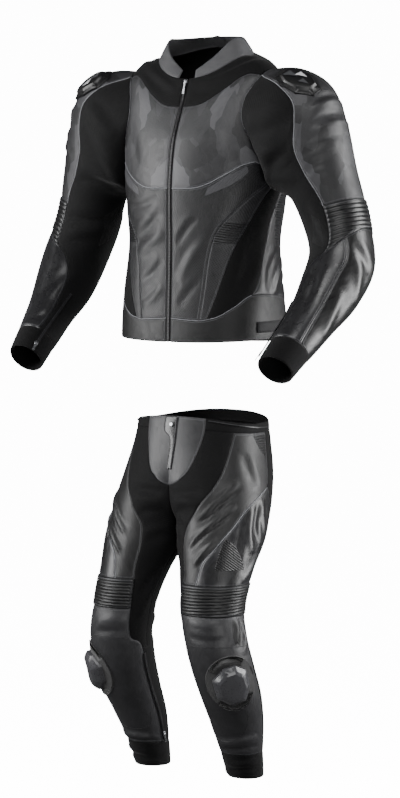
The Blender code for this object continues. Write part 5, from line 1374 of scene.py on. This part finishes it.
class SUIT_OT_legs(SuitOperator):
    """Stretch crotch and inner legs, stretch backs of the legs, and the leg cuffs."""

    bl_idname = "suit.legs"
    bl_label = "Stretch legs and cuffs"

    def execute(self, context):
        gap = settings().spacing
        knee_inner, knee_outer = knee_sides()
        for letter, side in SIDES:
            inseam = straight((0, 2.31), (0, STRETCH_END))
            left = joined(fly_side(), seam(FLY_BOTTOM), inseam)
            right = joined(seam(STRETCH_SEAM), knee_inner, cut(SHIN_INNER, KNEE_BOTTOM, STRETCH_END))
            grid = patch(leg, gap, straight((52, WAISTBAND_SEAM), (111, WAISTBAND_SEAM)),
                         straight((0, STRETCH_END), (12, STRETCH_END)), left, right)
            cloth("stretch_front_" + letter, leg, grid, finish("stretch_knit"), side=side)
            outer = joined(np.concatenate([seam(HIP_SIDE), thigh_side()]), knee_outer, seam(SHIN_OUTER))
            calf = cut(SHIN_INNER, STRETCH_END, LEG_CUFF) + (360, 0)
            back = np.concatenate([straight((360, WAISTBAND_SEAM), (360, STRETCH_END)), calf])
            grid = patch(leg, gap, straight((196, WAISTBAND_SEAM), (360, WAISTBAND_SEAM)),
                         straight((200, LEG_CUFF), (366, LEG_CUFF)), outer, back)
            cloth("leg_back_" + letter, leg, grid, finish("stretch_knit"), side=side)
            ring = np.stack([np.linspace(6, 366, 60), np.full(60, LEG_CUFF)], -1)
            grid = patch(leg, 0.004, ring, ring * (1, 0) + (0, LEG_END), straight((6, LEG_CUFF), (6,
                                                                                                  LEG_END)),
                         straight((366, LEG_CUFF), (366, LEG_END)))
            cloth("leg_cuff_" + letter, leg, grid, finish("leg_cuff_knit"), side=side,
                  closed=True)
        return {"FINISHED"}


class SUIT_OT_knees(SuitOperator):
    """Accordion knees and the shin panels with their drawn seams."""

    bl_idname = "suit.knees"
    bl_label = "Knees and shins"

    def execute(self, context):
        sizes = settings()
        knee_inner, knee_outer = knee_sides()
        gusset = inside_polygon(((160, 6.30), (181, 6.67), (184, 7.2), (163, 7.27), (157, 6.83)), 0.0012,
                                0.07)
        for letter, side in SIDES:
            low = straight((46, KNEE_BOTTOM), (215, KNEE_BOTTOM))
            grid = patch(leg, sizes.spacing, straight((53, KNEE_TOP), (225, KNEE_TOP)), low, knee_inner,
                         knee_outer, spacing_up=sizes.rib_spacing)
            cloth("knee_accordion_" + letter, leg, grid, finish("knee_leather"), side=side,
                  relief=ribbing(sizes.knee_pitch, sizes.rib_rise))
            trims = [
                ribbon("knee_seam_" + letter, leg, seam((40, 7.25), (90, 7.2), (150, 7.2), (204, 7.25)),
                       half_round(0.0008), finish("dark_piping"), side, 0.0022),
                ribbon("shin_seam_" + letter, leg, seam((154, 9.4), (145, 9.95), (121, 10.35), (82, 10.5),
                                                        (40, 10.35), (30, 9.9)),
                       half_round(0.0008), finish("dark_piping"), side, 0.0022),
            ]
            grid = patch(leg, sizes.spacing, low, straight((6, LEG_CUFF), (200, LEG_CUFF)), seam(SHIN_INNER),
                         seam(SHIN_OUTER))
            cloth("shin_" + letter, leg, grid, finish("shin_cowhide"), side=side,
                  marks={"gusset": gusset})
        return {"FINISHED"}


def scaled(corners, half_across, half_down, steps):
    """An outline through corners, each side in equal steps, in metres."""
    corners = np.array(corners) * (half_across, half_down)
    return [here + (after - here) * k / steps
            for here, after in zip(corners, np.roll(corners, -1, 0)) for k in range(steps)]


def plate_piece(name, surface, place, side, outline, levels, lift, material, nodes, bevel):
    shape = bmesh.new()
    stepped_plate(shape, outline, levels)
    sharp = [edge for edge in shape.edges if len(edge.link_faces) == 2
             and edge.calc_face_angle(0) > math.radians(15)]
    bmesh.ops.bevel(shape, geom=sharp, offset=bevel, segments=2, profile=0.5, affect="EDGES", material=-1)
    bend_onto(shape, surface, place, side, lift)
    return piece(name, shape_mesh(name, shape), material, nodes)


class SUIT_OT_pucks(SuitOperator):
    """Hook-and-loop pads with the bare faceted knee pucks on them."""

    bl_idname = "suit.pucks"
    bl_label = "Knee pads and pucks"

    def execute(self, context):
        hexagon = ((-0.25, -1), (0.45, -1), (1, -0.5), (1, 0.35), (0.5, 1), (-0.4, 1), (-1, 0.5), (-1, -0.45))
        for letter, side in SIDES:
            place, across, down = KNEE_PAD
            turns = np.linspace(0, 2 * math.pi, 40, endpoint=False)
            rim = [(across * math.cos(t), down * math.sin(t)) for t in turns]
            plate_piece("knee_pad_pile_" + letter, leg, place, side, rim, ((1.0, 0.0030), (0.66, 0.0032),
                        (0.33, 0.0033)), 0.0030, finish("hook_pile"),
                        ("knee_pad_" + letter,), 0.0006)
            place, across, down = KNEE_PUCK
            plate_piece("knee_puck_shell_" + letter, leg, place, side, scaled(hexagon, across, down, 3),
                        ((1.0, 0.0070), (0.84, 0.0130), (0.70, 0.0160)), 0.0062, finish("puck_urethane"),
                        ("knee_puck_" + letter,), 0.0009)
        return {"FINISHED"}


class SUIT_OT_plates(SuitOperator):
    """Two-level shoulder plates with lighter facets."""

    bl_idname = "suit.plates"
    bl_label = "Shoulder plates"

    def execute(self, context):
        corners = ((-0.55, -1), (0.35, -1), (1, -0.55), (1, 0.3), (0.45, 1), (-0.35, 1), (-1, 0.35), (-1,
                                                                                                      -0.5))
        place, across, down = SHOULDER_PLATE
        facet = ((-0.9, -0.8), (0.8, -0.5), (0.3, 1.0))
        spots = (("plate_facet", 0.34, (-0.10, -0.38)), ("plate_light_facet", 0.27, (0.26, 0.02)),
                 ("plate_facet", 0.24, (-0.14, 0.34)))
        for letter, side in SIDES:
            plate_piece("shoulder_plate_shell_" + letter, sleeve, place, side, scaled(corners, across,
                                                                                      down, 3),
                        ((1.0, 0.0045), (0.80, 0.0065), (0.72, 0.0105)), 0.0022, finish("plate_urethane"),
                        ("shoulder_plate_" + letter,), 0.0008)
            for number, (key, share, (right, lower)) in enumerate(spots):
                outline = [(x + right * across, y + lower * down)
                           for x, y in scaled(facet, share * across, share * down, 2)]
                shape = bmesh.new()
                stepped_plate(shape, outline, ((1.0, 0.0004),))
                for vert in shape.verts:
                    vert.co.z += 0.0105
                bend_onto(shape, sleeve, place, side, 0.0022)
                name = f"plate_facet_{number}_{letter}"
                piece(name, shape_mesh(name, shape), finish(key))
        return {"FINISHED"}


def chain(name, surface, route, side, lift, half, pitch):
    """A closed zip's teeth: small blocks at even steps along a route."""
    length = measured(route, surface)[1]
    spots = at_shares(route, surface, np.linspace(0, 1, round(length / pitch)))
    shape = bmesh.new()
    for spot in spots:
        origin, normal, down, across = local_frame(surface, spot, side)
        block = bmesh.ops.create_cube(shape, size=1)["verts"]
        turned = Matrix((across, down, normal)).transposed().to_4x4()
        size = Matrix.Diagonal((2 * half, 0.62 * pitch, 0.0016, 1))
        place = Matrix.Translation(Vector(origin + (lift + 0.0006) * normal))
        bmesh.ops.transform(shape, matrix=place @ turned @ size, verts=block)
    return piece(name, shape_mesh(name, shape), finish("zip_coil"))


class SUIT_OT_zips(SuitOperator):
    """Front, cuff and calf zips: tape, closed teeth and slider; their pulls stay the CAD ones."""

    bl_idname = "suit.zips"
    bl_label = "Zips"

    def execute(self, context):
        runs = [("front_zip", torso, seam((0, 0.02), (0, 3.9), (0, 7.86)), 1, ZIP_WIDTH - SEAM_GAP, 0.0002,
                 (0, 7.80))]
        for letter, side in SIDES:
            runs.append(("cuff_zip_" + letter, sleeve, seam(CUFF_ZIP), side, SMALL_ZIP_WIDTH, 0.0040,
                         (41, 10.40)))
            runs.append(("calf_zip_" + letter, leg, seam(CALF_ZIP), side, SMALL_ZIP_WIDTH, 0.0036, (6,
                                                                                                    10.70)))
        for name, surface, route, side, width, lift, end in runs:
            half = width / 2
            section = [(-half, 0), (-0.6 * half, 0.0009), (0, 0.0011), (0.6 * half, 0.0009), (half, 0)]
            ribbon(name + "_tape", surface, route, section, finish("zip_tape"), side, lift,
                   nodes=(name,))
            chain(name + "_teeth", surface, route, side, lift + 0.0010, 0.0024, settings().tooth_pitch)
            shape = bmesh.new()
            bmesh.ops.create_cube(shape, size=1)
            origin, normal, down, across = local_frame(surface, end, side)
            turned = Matrix((across, down, normal)).transposed().to_4x4()
            place = Matrix.Translation(Vector(origin + (lift + 0.0022) * normal))
            size = Matrix.Diagonal((0.0084, 0.0105, 0.0026, 1))
            bmesh.ops.transform(shape, matrix=place @ turned @ size, verts=shape.verts)
            bmesh.ops.bevel(shape, geom=shape.edges, offset=0.0006, segments=2, profile=0.5, affect="EDGES",
                            material=-1)
            piece(name + "_slider", shape_mesh(name + "_slider", shape), finish("nickel"))
        for name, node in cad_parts.items():
            if "pull" in name:
                node.data.materials.clear()
                node.data.materials.append(finish("nickel"))
        return {"FINISHED"}


class SUIT_OT_fittings(SuitOperator):
    """Fly snap and the teeth of the connector zip."""

    bl_idname = "suit.fittings"
    bl_label = "Small fittings"

    def execute(self, context):
        shape = bmesh.new()
        bmesh.ops.create_cone(shape, cap_ends=True, segments=24, radius1=0.0055, radius2=0.0040, depth=0.0030)
        origin, normal, down, across = local_frame(waist, (-2, 0.38), 1)
        turned = Matrix((across, down, normal)).transposed().to_4x4()
        bmesh.ops.transform(shape, matrix=Matrix.Translation(Vector(origin + 0.0075 * normal)) @ turned,
                            verts=shape.verts)
        piece("fly_snap", shape_mesh("fly_snap", shape), finish("nickel"))
        connector = seam((60, 0.10), (124, 0.16), (200, 0.30))
        chain("connector_teeth", waist, connector, 1, 0.0030, 0.0022, settings().tooth_pitch)
        chain("connector_teeth_right", waist, connector * (-1, 1), 1, 0.0030, 0.0022, settings().tooth_pitch)
        return {"FINISHED"}


VIEW_TURN, VIEW_RISE = math.radians(33), math.radians(5)
VIEW_MIDDLE = (0, 0, -0.752)
HALF_VIEW = 399 / 2827.5   # half the view's height over its distance
AIM_LEFT = 4.5 / 435       # metres that the lens aims to the left of the middle
FLOOR_HEIGHT = -1.75


class SUIT_OT_stage(SuitOperator):
    """White studio floor and backdrop, soft lights and the camera."""

    bl_idname = "suit.stage"
    bl_label = "Studio"

    def execute(self, context):
        scene = context.scene
        shape = bmesh.new()
        # a round floor that sweeps up into a wall, so that the suit can be seen from every side
        bmesh.ops.create_grid(shape, x_segments=72, y_segments=16, size=1)
        azimuth, elevation = VIEW_TURN, VIEW_RISE
        for vert in shape.verts:
            turn, run = math.pi * vert.co.x, (vert.co.y + 1) / 2
            sweep = max(0.0, run - 0.5) / 0.5 * math.pi / 2
            reach = 12 * min(run, 0.5) / 0.5 + 4 * math.sin(sweep)
            vert.co = (reach * math.cos(turn), reach * math.sin(turn), FLOOR_HEIGHT + 9 * (1 - math.cos(sweep)))
        bmesh.ops.remove_doubles(shape, verts=shape.verts, dist=1e-4)
        material, tree, shader = new_material("backdrop_paper", 0.9)
        paper = scene.suit_colours.backdrop
        grain = add(tree, "TexNoise", {"Vector": add(tree, "TexCoord", output="Object"), "Scale": 2.0})
        tone = add(tree, "MapRange", (grain, 0.3, 0.7, 0.99, 1.0))
        base = add(tree, "Mix", {0: 1.0, 6: tuple(paper), 7: tone}, 2, data_type="RGBA",
                   blend_type="MULTIPLY")
        tree.links.new(base, shader.inputs["Base Color"])
        shader.inputs["Emission Color"].default_value = (1, 1, 1, 1)
        shader.inputs["Emission Strength"].default_value = 14.0
        mesh = shape_mesh("backdrop", shape)
        mesh.materials.append(material)
        backdrop = bpy.data.objects.new("backdrop", mesh)
        scene.collection.objects.link(backdrop)
        # white to the lens only, as a backdrop lit far behind the suit is
        backdrop.visible_diffuse = False
        backdrop.visible_glossy = False
        backdrop.visible_transmission = False
        world = bpy.data.worlds.new("studio_air")
        world.use_nodes = True
        air = world.node_tree.nodes["Background"]
        air.inputs["Color"].default_value = (1, 1, 1, 1)
        air.inputs["Strength"].default_value = 0.10
        scene.world = world
        right = Vector((math.cos(azimuth), math.sin(azimuth), 0))
        back = Vector((math.sin(azimuth) * math.cos(elevation), -math.cos(azimuth) * math.cos(elevation),
                       math.sin(elevation)))
        middle = Vector(VIEW_MIDDLE)
        # two tall soft boxes beside and a little behind the suit rim its edges; one high in front fills it
        for name, way, up, width, height, watts in (
                ("left_box", back * 0.5 - right * 2.4, 0.5, 1.2, 2.6, 90),
                ("right_box", back * 0.1 + right * 2.3, 0.4, 1.0, 2.6, 90),
                ("top_box", back * 2.6, 2.4, 2.2, 1.6, 55),
                ("low_box", back * 2.6 + right * 0.8, -0.7, 1.6, 1.2, 26)):
            lamp = bpy.data.lights.new(name, "AREA")
            lamp.shape = "RECTANGLE"
            lamp.size, lamp.size_y, lamp.energy = width, height, watts
            item = bpy.data.objects.new(name, lamp)
            scene.collection.objects.link(item)
            item.location = middle + way + Vector((0, 0, up))
            item.rotation_euler = (middle - item.location).to_track_quat("-Z", "Y").to_euler()
        lens = bpy.data.cameras.new("camera")
        lens.sensor_fit = "VERTICAL"
        lens.angle = 2 * math.atan(HALF_VIEW)
        camera = bpy.data.objects.new("camera", lens)
        scene.collection.objects.link(camera)
        aim = middle - right * AIM_LEFT
        camera.location = aim + back * scene.suit_sizes.camera_distance
        camera.rotation_euler = (aim - camera.location).to_track_quat("-Z", "Y").to_euler()
        scene.camera = camera
        return {"FINISHED"}


PIECES = (
    SUIT_OT_chest, SUIT_OT_fronts, SUIT_OT_sides, SUIT_OT_back, SUIT_OT_yoke, SUIT_OT_collar, SUIT_OT_hem,
    SUIT_OT_sleeves, SUIT_OT_forearms, SUIT_OT_waist, SUIT_OT_thighs, SUIT_OT_legs, SUIT_OT_knees,
    SUIT_OT_pucks, SUIT_OT_plates, SUIT_OT_zips, SUIT_OT_fittings, SUIT_OT_stage,
)


class SUIT_PT_panel(bpy.types.Panel):
    """Lists the suit's pieces in the sidebar."""

    bl_idname = "SUIT_PT_panel"
    bl_label = "Race suit"
    bl_space_type = "VIEW_3D"
    bl_region_type = "UI"
    bl_category = "Race suit"

    def draw(self, context):
        for operator in PIECES:
            self.layout.operator(operator.bl_idname)
        for group in (context.scene.suit_sizes, context.scene.suit_colours):
            for key in group.__annotations__:
                self.layout.prop(group, key)


CLASSES = (SuitSizes, SuitColours) + PIECES + (SUIT_PT_panel,)


def register():
    for item in CLASSES:
        bpy.utils.register_class(item)
    bpy.types.Scene.suit_sizes = bpy.props.PointerProperty(type=SuitSizes)
    bpy.types.Scene.suit_colours = bpy.props.PointerProperty(type=SuitColours)


def unregister():
    del bpy.types.Scene.suit_sizes
    del bpy.types.Scene.suit_colours
    for item in reversed(CLASSES):
        bpy.utils.unregister_class(item)


def main():
    register()
    for operator in PIECES:
        group, name = operator.bl_idname.split(".")
        if getattr(getattr(bpy.ops, group), name)() != {"FINISHED"}:
            raise RuntimeError(f"{operator.bl_idname} didn't finish")


if __name__ == "__main__":
    main()
